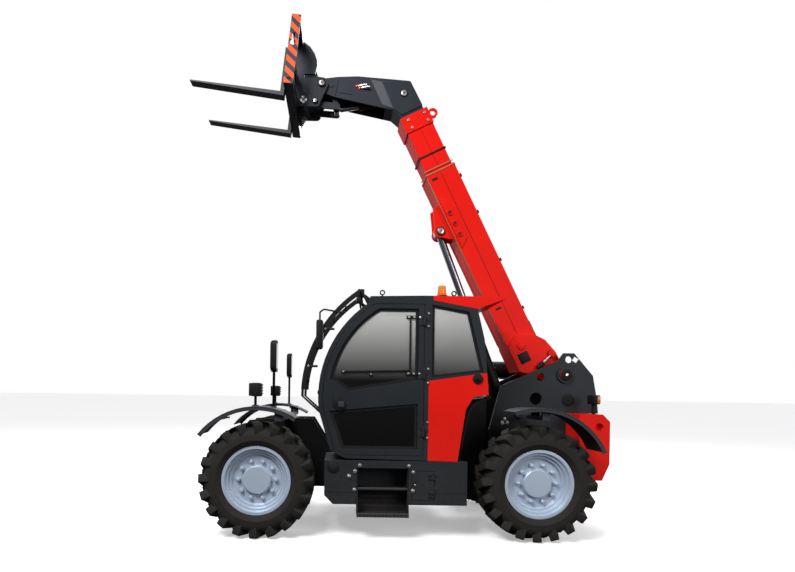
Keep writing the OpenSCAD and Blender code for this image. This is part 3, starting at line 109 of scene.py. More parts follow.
# %% Floor, world and lamps
scene = bpy.context.scene
scene.view_settings.view_transform = "Standard"
FLOOR_SIDE, FLOOR_DROP = 600.0, 0.001


def set_inputs(node, **values):
    """Set some inputs of a node by name, with _ for a space."""
    for label, value in values.items():
        node.inputs[label.replace("_", " ")].default_value = value
    return node


def new_finish(name):
    """A new material with its tree and its shader."""
    finish = bpy.data.materials.new(name)
    finish.use_nodes = True
    return finish, finish.node_tree, finish.node_tree.nodes["Principled BSDF"]


def studio_floor():
    """A wide pale floor just under the tyres."""
    mesh = bpy.data.meshes.new("studio_floor")
    bm = bmesh.new()
    bmesh.ops.create_grid(bm, x_segments=1, y_segments=1, size=FLOOR_SIDE / 2)
    bmesh.ops.translate(bm, vec=(0, 0, -FLOOR_DROP), verts=bm.verts)
    bm.to_mesh(mesh)
    bm.free()
    floor = bpy.data.objects.new("studio_floor", mesh)
    scene.collection.objects.link(floor)
    paint, _, shader = new_finish("floor_paint")
    set_inputs(shader, Base_Color=(0.92, 0.92, 0.93, 1), Roughness=0.75, Emission_Color=(1, 1, 1, 1),
               Emission_Strength=0.34)
    mesh.materials.append(paint)
    floor.visible_diffuse = False
    floor.visible_glossy = False
    return floor


def soft_lamp(name, spot, aim, side, watts):
    """A square area lamp that looks at a point."""
    lamp = bpy.data.lights.new(name, "AREA")
    lamp.shape = "SQUARE"
    lamp.size = side
    lamp.energy = watts
    holder = bpy.data.objects.new(name, lamp)
    holder.location = spot
    holder.rotation_euler = (Vector(aim) - Vector(spot)).to_track_quat("-Z", "Y").to_euler()
    scene.collection.objects.link(holder)
    return holder


def light_room(tree):
    """A white backdrop behind the machine that fades to a dim room on the camera's side."""
    way = tree.nodes.new("ShaderNodeTexCoord").outputs["Generated"]
    split = tree.nodes.new("ShaderNodeSeparateXYZ")
    tree.links.new(way, split.inputs[0])
    fade = set_inputs(tree.nodes.new("ShaderNodeMapRange"), From_Min=-0.35, From_Max=0.25, To_Min=1.0, To_Max=0.16)
    tree.links.new(split.outputs["Y"], fade.inputs["Value"])
    below = set_inputs(tree.nodes.new("ShaderNodeMapRange"), From_Min=-0.20, From_Max=0.0, To_Min=0.10)
    tree.links.new(split.outputs["Z"], below.inputs["Value"])
    strength = tree.nodes.new("ShaderNodeMath")
    strength.operation = "MULTIPLY"
    tree.links.new(fade.outputs[0], strength.inputs[0])
    tree.links.new(below.outputs[0], strength.inputs[1])
    back = tree.nodes["Background"]
    back.inputs["Color"].default_value = (1, 1, 1, 1)
    tree.links.new(strength.outputs[0], back.inputs["Strength"])


studio_floor()
world = bpy.data.worlds.new("studio_world")
scene.world = world
world.use_nodes = True
light_room(world.node_tree)
soft_lamp("key_lamp", (4.5, 7.0, 9.0), (0, 0, 2.0), 4.0, 1180)
soft_lamp("fill_lamp", (-6.0, 8.0, 4.0), (-0.5, 0, 1.5), 5.0, 320)
soft_lamp("back_lamp", (-2.0, -7.0, 9.0), (0, 0, 2.0), 6.0, 900)

# %% [markdown]
# ## Effects that the finishes share
#
# Paint on a work machine is never one flat colour: it fades in broad patches, gathers pale dust low down and has a
# fine orange-peel skin. Each effect is a node group, built once and set differently in every material. Groups only
# hand out colours, values, heights and normals; the shader itself stays in the material.

# %% A small helper for node groups
def new_group(name, inputs, outputs):
    """An empty shader group with its sockets, given as (kind, name, default) and (kind, name)."""
    tree = bpy.data.node_groups.new(name, "ShaderNodeTree")
    for kind, label, default in inputs:
        socket = tree.interface.new_socket(label, in_out="INPUT", socket_type=kind)
        socket.default_value = default
    for kind, label in outputs:
        tree.interface.new_socket(label, in_out="OUTPUT", socket_type=kind)
    return tree, tree.nodes.new("NodeGroupInput"), tree.nodes.new("NodeGroupOutput")


def add(tree, kind, **values):
    """A node with some of its inputs set."""
    return set_inputs(tree.nodes.new(kind), **values)


def object_spot(tree):
    """The object's own coordinates."""
    return tree.nodes.new("ShaderNodeTexCoord").outputs["Object"]


def split_spot(tree):
    """The object's own coordinates as X, Y and Z."""
    split = tree.nodes.new("ShaderNodeSeparateXYZ")
    tree.links.new(object_spot(tree), split.inputs[0])
    return split.outputs


def pattern(tree, kind, **values):
    """A texture on the object's own coordinates."""
    node = add(tree, kind, **values)
    tree.links.new(object_spot(tree), node.inputs["Vector"])
    return node


def maths(tree, operation, a, b=None):
    """A Math node fed by sockets or plain numbers."""
    node = tree.nodes.new("ShaderNodeMath")
    node.operation = operation
    for i, source in enumerate((a, b)):
        if source is None:
            continue
        if isinstance(source, (int, float)):
            node.inputs[i].default_value = source
        else:
            tree.links.new(source, node.inputs[i])
    return node.outputs[0]


def blend_colours(tree, factor, a, b):
    """A Mix node for colours, fed by sockets or plain colours."""
    node = tree.nodes.new("ShaderNodeMix")
    node.data_type = "RGBA"
    for key, source in ((0, factor), (6, a), (7, b)):
        if isinstance(source, (int, float, tuple)):
            node.inputs[key].default_value = source
        else:
            tree.links.new(source, node.inputs[key])
    return node.outputs[2]


FLOAT, COLOUR, NOISE = "NodeSocketFloat", "NodeSocketColor", "ShaderNodeTexNoise"

# %% Weathered film: fading, dust from the ground, orange peel
def weathered_film():
    tree, given, out = new_group(
        "weathered_film",
        [(COLOUR, "Paint", (0.5, 0.5, 0.5, 1)), (COLOUR, "Dust Colour", (0.32, 0.28, 0.24, 1)),
         (FLOAT, "Fading", 0.12), (FLOAT, "Dust", 0.3), (FLOAT, "Dust Height", 1.3),
         (FLOAT, "Gloss", 0.35), (FLOAT, "Peel", 120.0)],
        [(COLOUR, "Colour"), (FLOAT, "Roughness"), (FLOAT, "Height")])
    broad = pattern(tree, NOISE, Scale=1.7, Detail=5.0, Roughness=0.6)
    fine = pattern(tree, NOISE, Scale=28.0, Detail=6.0, Roughness=0.7)
    skin = pattern(tree, NOISE, Detail=2.0)
    tree.links.new(given.outputs["Peel"], skin.inputs["Scale"])
    shade = maths(tree, "SUBTRACT", broad.outputs[0], 0.5)
    shade = maths(tree, "MULTIPLY", shade, given.outputs["Fading"])
    bright = tree.nodes.new("ShaderNodeHueSaturation")
    tree.links.new(given.outputs["Paint"], bright.inputs["Color"])
    tree.links.new(maths(tree, "ADD", maths(tree, "MULTIPLY", shade, 2.0), 1.0), bright.inputs["Value"])
    low = maths(tree, "DIVIDE", split_spot(tree)["Z"], given.outputs["Dust Height"])
    low = maths(tree, "MAXIMUM", maths(tree, "SUBTRACT", 1.0, low), 0.0)
    spots = maths(tree, "MULTIPLY", fine.outputs[0], 1.6)
    dust = maths(tree, "MULTIPLY", maths(tree, "MULTIPLY", low, spots), given.outputs["Dust"])
    dust = maths(tree, "MINIMUM", dust, 1.0)
    tree.links.new(blend_colours(tree, dust, bright.outputs[0], given.outputs["Dust Colour"]), out.inputs["Colour"])
    rough = maths(tree, "ADD", given.outputs["Gloss"], maths(tree, "MULTIPLY", dust, 0.5))
    rough = maths(tree, "ADD", rough, maths(tree, "MULTIPLY", maths(tree, "SUBTRACT", fine.outputs[0], 0.5), 0.12))
    tree.links.new(rough, out.inputs["Roughness"])
    tree.links.new(maths(tree, "ADD", skin.outputs[0], maths(tree, "MULTIPLY", dust, 2.0)), out.inputs["Height"])
    return tree


FILM = weathered_film()
print("film group has", len(FILM.nodes), "nodes")

# %% [markdown]
# A plate that was cut and welded has soft edges, and the paint wears thin there. The Bevel node looks round each
# point and gives a rounded normal near edges. Where that normal leaves the true one, the edge is, and there the
# paint turns paler.

# %% Worn edges
def worn_edges():
    tree, given, out = new_group(
        "worn_edges",
        [(COLOUR, "Paint", (0.5, 0.5, 0.5, 1)), (COLOUR, "Worn", (0.4, 0.4, 0.4, 1)), (FLOAT, "Amount", 0.4)],
        [(COLOUR, "Colour"), ("NodeSocketVector", "Normal")])
    soft = add(tree, "ShaderNodeBevel", Radius=0.006)
    soft.samples = 4
    true = tree.nodes.new("ShaderNodeNewGeometry").outputs["Normal"]
    match = tree.nodes.new("ShaderNodeVectorMath")
    match.operation = "DOT_PRODUCT"
    tree.links.new(soft.outputs[0], match.inputs[0])
    tree.links.new(true, match.inputs[1])
    edge = maths(tree, "MULTIPLY", maths(tree, "SUBTRACT", 1.0, match.outputs["Value"]), 3.0)
    patches = pattern(tree, NOISE, Scale=18.0, Detail=4.0)
    edge = maths(tree, "MULTIPLY", edge, patches.outputs[0])
    edge = maths(tree, "MINIMUM", maths(tree, "MULTIPLY", edge, given.outputs["Amount"]), 1.0)
    tree.links.new(blend_colours(tree, edge, given.outputs["Paint"], given.outputs["Worn"]), out.inputs["Colour"])
    tree.links.new(soft.outputs[0], out.inputs["Normal"])
    return tree


EDGES = worn_edges()
print("edge group has", len(EDGES.nodes), "nodes")

# %% [markdown]
# ## Painted and moulded finishes
#
# Every hard finish is the same recipe with its own numbers: the film group, the edge group, a little bump, and a
# Principled shader. Signal red goes on the boom and body panels, anthracite on the cab and side plates, a bluish
# slate on the boom head and carriage, satin black on the running gear.

# %% The recipe for a coated surface
def group_node(tree, group, **values):
    """A group in a material's tree, with some of its inputs set."""
    node = tree.nodes.new("ShaderNodeGroup")
    node.node_tree = group
    return set_inputs(node, **values)


def coated(name, colour, worn, gloss=0.35, fading=0.12, dust=0.3, wear=0.4, bump=0.05, peel=120.0, metal=0.0,
           dust_height=1.3, shine=0.16):
    """A painted, moulded or bare metal surface."""
    paint, tree, shader = new_finish(name)
    film = group_node(tree, FILM, Paint=colour, Fading=fading, Dust=dust, Gloss=gloss, Peel=peel,
                      Dust_Height=dust_height)
    edge = group_node(tree, EDGES, Worn=worn, Amount=wear)
    grain = add(tree, "ShaderNodeBump", Strength=bump, Distance=0.002)
    for source, target in ((film.outputs["Colour"], edge.inputs["Paint"]),
                           (edge.outputs["Colour"], shader.inputs["Base Color"]),
                           (film.outputs["Roughness"], shader.inputs["Roughness"]),
                           (film.outputs["Height"], grain.inputs["Height"]),
                           (edge.outputs["Normal"], grain.inputs["Normal"]),
                           (grain.outputs[0], shader.inputs["Normal"])):
        tree.links.new(source, target)
    set_inputs(shader, Metallic=metal, Specular_IOR_Level=shine)
    return paint


ANTHRACITE_TONE, SLATE_TONE = (0.018, 0.021, 0.025, 1), (0.022, 0.026, 0.034, 1)
RED_PAINT = coated("red_paint", (0.74, 0.010, 0.005, 1), (0.75, 0.10, 0.04, 1), 0.42, 0.16, 0.06, 0.25, shine=0.08)
ANTHRACITE = coated("anthracite_paint", ANTHRACITE_TONE, (0.09, 0.09, 0.095, 1), 0.45, 0.3, 0.05, 0.45)
SLATE = coated("slate_paint", SLATE_TONE, (0.17, 0.19, 0.22, 1), 0.42, 0.3, 0.08, 0.7)
SATIN_BLACK = coated("satin_black", (0.007, 0.007, 0.008, 1), (0.06, 0.06, 0.06, 1), 0.5, 0.3, 0.08, 0.4)
MOULDED_BLACK = coated("moulded_black", (0.009, 0.009, 0.010, 1), (0.04, 0.04, 0.04, 1), 0.6, 0.3, 0.06, 0.2,
                       bump=0.25, peel=420.0)
FENDER_GREY = coated("fender_grey", (0.036, 0.039, 0.045, 1), (0.12, 0.12, 0.13, 1), 0.5, 0.3, 0.1, 0.3, bump=0.2,
                     peel=380.0)
RIM_SILVER = coated("rim_silver", (0.50, 0.59, 0.72, 1), (0.62, 0.66, 0.72, 1), 0.34, 0.10, 0.06, 0.3, metal=0.3,
                    dust_height=1.6)
TYRE_RUBBER = coated("tyre_rubber", (0.0145, 0.0142, 0.014, 1), (0.060, 0.056, 0.052, 1), 0.72, 0.35, 0.05, 0.5,
                     bump=0.35, peel=260.0, dust_height=1.8, shine=0.15)
FORK_STEEL = coated("fork_steel", (0.030, 0.032, 0.036, 1), (0.35, 0.35, 0.36, 1), 0.45, 0.3, 0.0, 0.8, metal=0.3)
BRIGHT_ZINC = coated("bright_zinc", (0.62, 0.62, 0.60, 1), (0.8, 0.8, 0.8, 1), 0.30, 0.2, 0.05, 0.3, metal=0.9)
print("coats mixed:", [m.name for m in bpy.data.materials])

# %% [markdown]
# ## Chrome, glass, lenses and seat vinyl
#
# A cylinder rod is ground and hard-chromed, so it is almost a mirror with a faint haze. The windows are tinted
# and show the dim cab behind them, with painted shade low down and a painted pale sky reflection high up. Lamp
# lenses are clear plastic, and the beacon is amber. These need shaders of their own: glass keeps a plain
# transmission, and only its colour and roughness change.

# %% Chrome for the rods
def roughened(tree, shader, grain, share, least):
    """Let a texture vary the roughness above a least value."""
    tree.links.new(maths(tree, "ADD", maths(tree, "MULTIPLY", grain.outputs[0], share), least),
                   shader.inputs["Roughness"])


def hard_chrome(name):
    """Ground and plated steel."""
    chrome, tree, shader = new_finish(name)
    set_inputs(shader, Base_Color=(0.36, 0.38, 0.43, 1), Metallic=1.0)
    roughened(tree, shader, pattern(tree, NOISE, Scale=40.0, Detail=3.0), 0.14, 0.14)
    return chrome


# %% Tinted panes, lenses and mirrors
def clear_pane(name, colour, rough, through):
    """Glass or clear plastic, with a faint smear pattern in its roughness."""
    pane, tree, shader = new_finish(name)
    set_inputs(shader, Base_Color=colour, Transmission_Weight=through, IOR=1.45)
    roughened(tree, shader, pattern(tree, NOISE, Scale=6.0, Detail=4.0), 0.08, rough)
    return pane


def tinted_pane_painted_sky():
    """Tinted glass with a painted pale sky reflection high up and painted dark shade low down."""
    pane = clear_pane("tinted_pane_painted_sky", (0.3, 0.3, 0.3, 1), 0.01, 0.5)
    tree = pane.node_tree
    shader = tree.nodes["Principled BSDF"]
    # Painted light: the base colour runs from painted shade at the bottom to a painted pale sky reflection at the
    # top.
    height = add(tree, "ShaderNodeMapRange", From_Min=1.62, From_Max=2.40)
    tree.links.new(split_spot(tree)["Z"], height.inputs["Value"])
    tree.links.new(blend_colours(tree, height.outputs[0], (0.006, 0.005, 0.005, 1), (0.90, 0.90, 0.89, 1)),
                   shader.inputs["Base Color"])
    return pane


ROD_CHROME = hard_chrome("rod_chrome")
TINTED_PANE_PAINTED_SKY = tinted_pane_painted_sky()
LAMP_CLEAR = clear_pane("lamp_clear", (0.85, 0.88, 0.90, 1), 0.05, 0.6)
AMBER_LENS = clear_pane("amber_lens", (0.95, 0.28, 0.02, 1), 0.10, 0.45)
RED_LENS = clear_pane("red_lens", (0.65, 0.02, 0.02, 1), 0.10, 0.35)
MIRROR_FACE = hard_chrome("mirror_face")

# %% Seat vinyl with a fine leather grain
def seat_vinyl():
    """Black vinyl with broad worn patches and small cells."""
    vinyl, tree, shader = new_finish("seat_vinyl")
    cells = pattern(tree, "ShaderNodeTexVoronoi", Scale=260.0)
    cells.feature = "DISTANCE_TO_EDGE"
    broad = pattern(tree, NOISE, Scale=7.0, Detail=4.0)
    tree.links.new(blend_colours(tree, broad.outputs[0], (0.012, 0.012, 0.013, 1), (0.035, 0.034, 0.034, 1)),
                   shader.inputs["Base Color"])
    roughened(tree, shader, broad, 0.2, 0.45)
    grain = add(tree, "ShaderNodeBump", Strength=0.3, Distance=0.001)
    tree.links.new(cells.outputs["Distance"], grain.inputs["Height"])
    tree.links.new(grain.outputs[0], shader.inputs["Normal"])
    return vinyl


SEAT_VINYL = seat_vinyl()
print("clear and soft finishes:", ROD_CHROME.name, TINTED_PANE_PAINTED_SKY.name, AMBER_LENS.name, SEAT_VINYL.name)

# %% [markdown]
# ## Finishes on the CAD nodes
#
# Each solid of the pack keeps its mesh and only gets its finish. One table says which.

# %% Assign the finishes
def repaint(node, finish):
    """Give a CAD node one finish."""
    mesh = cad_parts[node].data
    mesh.materials.clear()
    mesh.materials.append(finish)


FINISHES = {
    RED_PAINT: ["rear_counterweight", "roof_visor", "side_panel", "boom_outer", "boom_inner"],
    ANTHRACITE: ["chassis_frame", "left_skirt", "locker_door", "engine_hood", "hydraulic_tank", "cab_left_frame",
                 "cab_right_frame", "cab_front_panel", "cab_rear_frame", "cab_door"],
    SLATE: ["boom_head", "tilt_rocker", "tilt_link", "fork_carriage"],
    SATIN_BLACK: ["rear_hitch", "front_axle", "rear_axle", "engine_block", "engine_tray", "steps", "lift_barrel",
                  "tilt_barrel", "knuckle_front_left", "knuckle_front_right", "knuckle_rear_left",
                  "knuckle_rear_right"],
    MOULDED_BLACK: ["air_cleaner", "front_posts", "cab_floor", "cab_roof", "windscreen_guard", "seat_base",
                    "steering_column", "control_console"],
    FENDER_GREY: ["front_fenders", "rear_fenders"],
    RIM_SILVER: ["rim_front_left", "rim_front_right", "rim_rear_left", "rim_rear_right"],
    TYRE_RUBBER: ["tyre_front_left", "tyre_front_right", "tyre_rear_left", "tyre_rear_right"],
    FORK_STEEL: ["forks"],
    ROD_CHROME: ["lift_rod", "tilt_rod"],
    TINTED_PANE_PAINTED_SKY: ["cab_windows", "door_glass"],
    AMBER_LENS: ["beacon", "rear_lights"],
    LAMP_CLEAR: ["front_lights"],
    SEAT_VINYL: ["seat_cushions"],
}
for finish, nodes in FINISHES.items():
    for node in nodes:
        repaint(node, finish)
print("finished", sum(len(nodes) for nodes in FINISHES.values()), "of", len(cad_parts), "nodes")

# %% [markdown]
# ## Tyres
#
# The CAD tyre is a ring of flat sides with its lugs, kept light for the simulation. Here the same tyre is turned
# properly: a spun profile gives a round carcass with a bead, a bulging sidewall and a rib, and each lug is an
# extruded outline with rounded edges. Two rows of twenty stand half a pitch apart, as in the source.

# %% Helpers for new pieces
def set_down(name, bm, finishes, body, sharp=35):
    """Turn a bmesh into an object that rides a body, with smooth faces between sharp edges."""
    bmesh.ops.recalc_face_normals(bm, faces=bm.faces)
    mesh = bpy.data.meshes.new(name)
    bm.to_mesh(mesh)
    bm.free()
    for finish in finishes if isinstance(finishes, list) else [finishes]:
        mesh.materials.append(finish)
    mesh.shade_smooth()
    mesh.set_sharp_from_angle(angle=math.radians(sharp))
    piece = bpy.data.objects.new(name, mesh)
    scene.collection.objects.link(piece)
    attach(piece, body)
    return piece


def line_up(bm, points, close=False):
    """Vertices in a row with edges between them."""
    verts = [bm.verts.new(p) for p in points]
    pairs = list(zip(verts, verts[1:])) + ([(verts[-1], verts[0])] if close else [])
    return verts, [bm.edges.new(pair) for pair in pairs]


def once(things):
    """Each thing once, in the order given."""
    return list(dict.fromkeys(things))


def bevelled(bm, edges, offset, segments=2, clamp=False):
    """Round some edges and return the new vertices."""
    return bmesh.ops.bevel(bm, geom=once(edges), offset=offset, offset_type="OFFSET", segments=segments,
                           profile=0.5, affect="EDGES", material=-1, clamp_overlap=clamp)["verts"]


def moved_verts(grown):
    """The vertices among what an extrusion gives back."""
    return [g for g in grown["geom"] if isinstance(g, bmesh.types.BMVert)]


def prism(bm, outline, push, matrix=None, round_off=0.0):
    """An outline pushed along a vector, with its edges rounded, and moved by a matrix."""
    verts = [bm.verts.new(p) for p in outline]
    face = bm.faces.new(verts)
    new = moved_verts(bmesh.ops.extrude_face_region(bm, geom=[face]))
    bmesh.ops.translate(bm, vec=push, verts=new)
    every = verts + new
    bmesh.ops.recalc_face_normals(bm, faces=once(f for v in every for f in v.link_faces))
    if round_off:
        grown = bevelled(bm, [e for v in every for e in v.link_edges], round_off, clamp=True)
        every = once(grown + [v for v in every if v.is_valid])
    if matrix is not None:
        bmesh.ops.transform(bm, matrix=matrix, verts=every)
    return every


# %% One tyre, around its own axis
LUG_WIDE, LUG_TURN, LUG_MID, LUG_SOFT = 0.086, math.radians(20), 0.015, 0.006
TYRE_R, TYRE_HALF, TYRE_STEPS, LUG_COUNT = 0.59, 0.2, 96, 20
INSIDE = 0.0005
WHEEL_Y = 0.9


def lug_side(across):
    """How far a lug's edge lies beside its middle, at a distance across the tread."""
    return across * math.sin(LUG_TURN) + LUG_WIDE / 2 * math.cos(LUG_TURN)


def lug_top(across):
    """The height at which a lug's edge stays just inside the tyre's radius."""
    return math.sqrt(TYRE_R ** 2 - lug_side(across) ** 2) - INSIDE


def tyre_mesh():
    """A carcass spun from its profile, with two rows of lugs."""
    bm = bmesh.new()
    half = [(0.3505, 0.150), (0.356, 0.172), (0.374, 0.187), (0.400, 0.1945), (0.404, 0.198), (0.412, 0.1985),
            (0.418, 0.1965), (0.445, 0.1965), (0.475, 0.190), (0.503, 0.176), (0.524, 0.152), (0.535, 0.115),
            (0.538, 0.06)]
    profile = [(r, 0, -y) for r, y in half] + [(r, 0, y) for r, y in reversed(half)]
    verts, edges = line_up(bm, profile, close=True)
    bmesh.ops.spin(bm, geom=verts + edges, cent=(0, 0, 0), axis=UP, angle=math.tau, steps=TYRE_STEPS,
                   use_merge=True)
    bmesh.ops.remove_doubles(bm, verts=bm.verts, dist=SAME_PLACE)
    end = (TYRE_HALF - LUG_WIDE / 2 * math.sin(LUG_TURN)) / math.cos(LUG_TURN) - INSIDE
    outline = [(0.505, -LUG_MID), (lug_top(LUG_MID), -LUG_MID), (lug_top(end), end - 0.012),
               (lug_top(end) - 0.016, end), (0.472, end), (0.472, end - 0.04)]
    start = math.asin(lug_side(LUG_MID) / TYRE_R)
    for row in (1, -1):
        for i in range(LUG_COUNT):
            turn = math.tau * (i + (row < 0) / 2) / LUG_COUNT + start
            stand = (Matrix.Rotation(turn, 4, "Z") @ Matrix.Diagonal((1, 1, row, 1))
                     @ Matrix.Rotation(LUG_TURN, 4, "X"))
            prism(bm, [(r, -LUG_WIDE / 2, z) for r, z in outline], (0, LUG_WIDE, 0), stand, LUG_SOFT)
    mesh = bpy.data.meshes.new("tyre_pattern")
    bm.to_mesh(mesh)
    bm.free()
    return mesh


# %% Four tyres on their wheels
def wheel_stand(x, side):
    """The place of a wheel, whose own axis is Z."""
    lay = Matrix(((1, 0, 0, 0), (0, 0, 1, 0), (0, -1, 0, 0), (0, 0, 0, 1)))
    return (Matrix.Translation((x, 0, AXLE_Z)) @ Matrix.Diagonal((1, side, 1, 1))
            @ Matrix.Translation((0, WHEEL_Y, 0)) @ lay)


WHEELS = {"front_left": (FRONT_AXLE_X, 1), "front_right": (FRONT_AXLE_X, -1),
          "rear_left": (REAR_AXLE_X, 1), "rear_right": (REAR_AXLE_X, -1)}
round_tyre = tyre_mesh()
for wheel, (x, side) in WHEELS.items():
    bm = bmesh.new()
    bm.from_mesh(round_tyre)
    bmesh.ops.transform(bm, matrix=wheel_stand(x, side), verts=bm.verts)
    tyre = set_down("tyre_round_" + wheel, bm, TYRE_RUBBER, "wheel_" + wheel)
    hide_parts("tyre_" + wheel)
print("tyres turned,", len(round_tyre.polygons), "faces each")

# %% [markdown]
# ## Boom and head
#
# The boom is a welded box. A seam runs along its side, a doubler plate with three round embosses sits over the lift
# bracket, brass-coloured wear strips show at the mouth, and clips sit along its back. The head has bolted
# pins with bright discs, a folded side plate with a painted highlight on its upturned fold, an embossed panel and
# two hose couplers.

# %% Small shapes in any place
def stand_at(spot, axis):
    """A matrix that puts the Z axis along a direction at a place."""
    return Matrix.Translation(spot) @ Vector(axis).to_track_quat("Z", "Y").to_matrix().to_4x4()


def softened(bm, verts, edges, soft, matrix, slot):
    """Bevel some edges of a new shape, move it to its place and give its faces a material slot."""
    if soft:
        grown = bevelled(bm, edges, soft)
        verts = once(grown + [v for v in verts if v.is_valid])
    bmesh.ops.transform(bm, matrix=matrix, verts=verts)
    for face in once(f for v in verts for f in v.link_faces):
        face.material_index = slot
    return verts


def disc(bm, spot, axis, radius, height, sides=28, soft=0.0, slot=0):
    """A round disc that stands on a place along an axis."""
    made = bmesh.ops.create_cone(bm, cap_ends=True, cap_tris=False, segments=sides, radius1=radius,
                                 radius2=radius, depth=height, matrix=Matrix.Translation((0, 0, height / 2)))
    verts = made["verts"]
    rim = [e for v in verts for e in v.link_edges if all(w.co.z > height * 0.99 for w in e.verts)]
    return softened(bm, verts, rim, soft, stand_at(spot, axis), slot)


def brick(bm, low, high, matrix=None, soft=0.0, slot=0):
    """A block between two corners, with soft edges."""
    made = bmesh.ops.create_cube(bm, size=1.0)
    verts = made["verts"]
    size = Vector(high) - Vector(low)
    bmesh.ops.scale(bm, vec=size, verts=verts)
    bmesh.ops.translate(bm, vec=(Vector(low) + Vector(high)) / 2, verts=verts)
    return softened(bm, verts, [e for v in verts for e in v.link_edges], soft, matrix or Matrix(), slot)


PIN_STEP = 0.004


def pin_disc(bm, spot, side, radius):
    """A pin head seen from outside: a dark washer, a bright face and a red middle."""
    out = (0, side, 0)
    step = Vector(out) * PIN_STEP
    disc(bm, spot, out, radius, PIN_STEP, soft=0.001, slot=1)
    disc(bm, spot + step, out, radius * 0.74, PIN_STEP, soft=0.001)
    disc(bm, spot + 2 * step, out, radius * 0.26, PIN_STEP / 2, slot=2)


# %% Outer boom: seams, doublers, wear strips and clips
BOOM_SIDE, INNER_SIDE, FOOT_SIDE = 0.150, 0.130, 0.180
DOUBLER = [(1.86, -0.42), (1.96, -0.30), (2.42, -0.30), (2.52, -0.42)]
FOOT_EMBOSS = (-112, 2080)

DEEP_RED = coated("deep_red", (0.16, 0.008, 0.006, 1), (0.3, 0.05, 0.03, 1), 0.5)
bm = bmesh.new()
for side in SIDES:
    y = side * BOOM_SIDE
    brick(bm, (0.62, y - 0.0015, -0.262), (2.79, y + 0.0015, -0.256), BOOM_TURN, slot=1)
    prism(bm, [(a, y, p) for a, p in DOUBLER], (0, side * 0.012, 0), BOOM_TURN, 0.003)
    for a in (2.02, 2.16, 2.30):
        disc(bm, BOOM_TURN @ Vector((a, y + side * 0.011, -0.368)), (0, side, 0), 0.036, 0.012, soft=0.008)
        disc(bm, BOOM_TURN @ Vector((a + 0.006, y + side * 0.023, -0.374)), (0, side, 0), 0.022, 0.002, slot=2)
    for a, p in ((2.74, -0.36), (1.03, -0.33)):
        brick(bm, (a - 0.012, y - 0.003, p - 0.035), (a + 0.012, y + 0.003, p + 0.035), BOOM_TURN, slot=1)
    for y_out, radius, height, soft in ((181, 0.058, 0.006, 0.004), (187, 0.040, 0.002, 0.0)):
        disc(bm, place(FOOT_EMBOSS[0], side * y_out, FOOT_EMBOSS[1]), (0, side, 0), radius, height, soft=soft)
    foot_y = side * FOOT_SIDE
    brick(bm, (0.315, foot_y - 0.006, -0.374), (0.440, foot_y + 0.006, -0.249), BOOM_TURN, 0.003, slot=1)
set_down("boom_seams", bm, [RED_PAINT, SATIN_BLACK, DEEP_RED], "boom")

WEAR_STRIP = coated("wear_strip", (0.30, 0.20, 0.10, 1), (0.5, 0.4, 0.25, 1), 0.5, 0.3, 0.0, 0.3)
bm = bmesh.new()
for a, wide in ((2.812, 0.152), (2.862, 0.139)):
    for side in SIDES:
        y = side * wide
        brick(bm, (a - 0.006, y - 0.004, -0.434), (a + 0.006, y + 0.004, -0.066), BOOM_TURN, 0.001)
    for p in (-0.436, -0.064) if wide > 0.15 else ():
        brick(bm, (a - 0.006, -0.15, p - 0.003), (a + 0.006, 0.15, p + 0.003), BOOM_TURN, 0.001)
for side in SIDES:
    y = side * 0.138
    brick(bm, (0.62, y - 0.010, -0.439), (2.79, y + 0.010, -0.434), BOOM_TURN, 0.001)
set_down("boom_wear_strips", bm, WEAR_STRIP, "boom")

bm = bmesh.new()
for a in (0.92, 1.55, 2.18, 2.66):
    brick(bm, (a - 0.02, 0.10, -0.068), (a + 0.02, 0.14, -0.042), BOOM_TURN, 0.004)
brick(bm, (0.30, 0.108, -0.066), (0.75, 0.132, -0.050), BOOM_TURN, 0.006)
set_down("boom_clips", bm, MOULDED_BLACK, "boom")
print("boom dressed: doublers, strips and clips")

# %% Pin heads on the lift bracket, the pivot and the rod
PIN_RED = coated("pin_red", (0.20, 0.012, 0.012, 1), (0.3, 0.1, 0.1, 1), 0.5)
PIN_LOOK = [BRIGHT_ZINC, MOULDED_BLACK, PIN_RED]
ROD_TOP, ROD_FOOT = (-468, 1985), (-300, 1812)
bm = bmesh.new()
for side in SIDES:
    pin_disc(bm, on_boom(*LIFT_PIN, side * 110), side, 0.050)
    disc(bm, on_boom(0, 0, side * 305.5), (0, side, 0), 0.066, 0.006, soft=0.002, slot=1)
    disc(bm, on_boom(0, 0, side * 311.5), (0, side, 0), 0.016, 0.010, sides=6)
    pin_disc(bm, place(ROD_TOP[0], side * 181, ROD_TOP[1]), side, 0.048)
set_down("boom_pin_heads", bm, PIN_LOOK, "boom")

# %% Inner boom: strap, seam and collar bolts
COLLAR_BOLTS = ((3.41, -0.13), (3.41, -0.34), (3.51, -0.13), (3.51, -0.34))
STRAP_SIDE = 0.134
bm = bmesh.new()
for side in SIDES:
    seam_y, strap_y = side * INNER_SIDE, side * STRAP_SIDE
    brick(bm, (2.88, seam_y - 0.0012, -0.252), (3.36, seam_y + 0.0012, -0.248), BOOM_TURN, slot=1)
    brick(bm, (3.03, strap_y - 0.004, -0.425), (3.05, strap_y + 0.004, -0.075), BOOM_TURN, 0.002, slot=1)
    for a, p in COLLAR_BOLTS:
        disc(bm, BOOM_TURN @ Vector((a, side * 0.142, p)), (0, side, 0), 0.017, 0.010, sides=6, slot=2)
for p in (-0.427, -0.075):
    brick(bm, (3.03, -0.137, p - 0.003), (3.05, 0.137, p + 0.003), BOOM_TURN, 0.002, slot=1)
set_down("inner_boom_trim", bm, [RED_PAINT, MOULDED_BLACK, BRIGHT_ZINC], "extension")
print("pins and collar bolts in place")
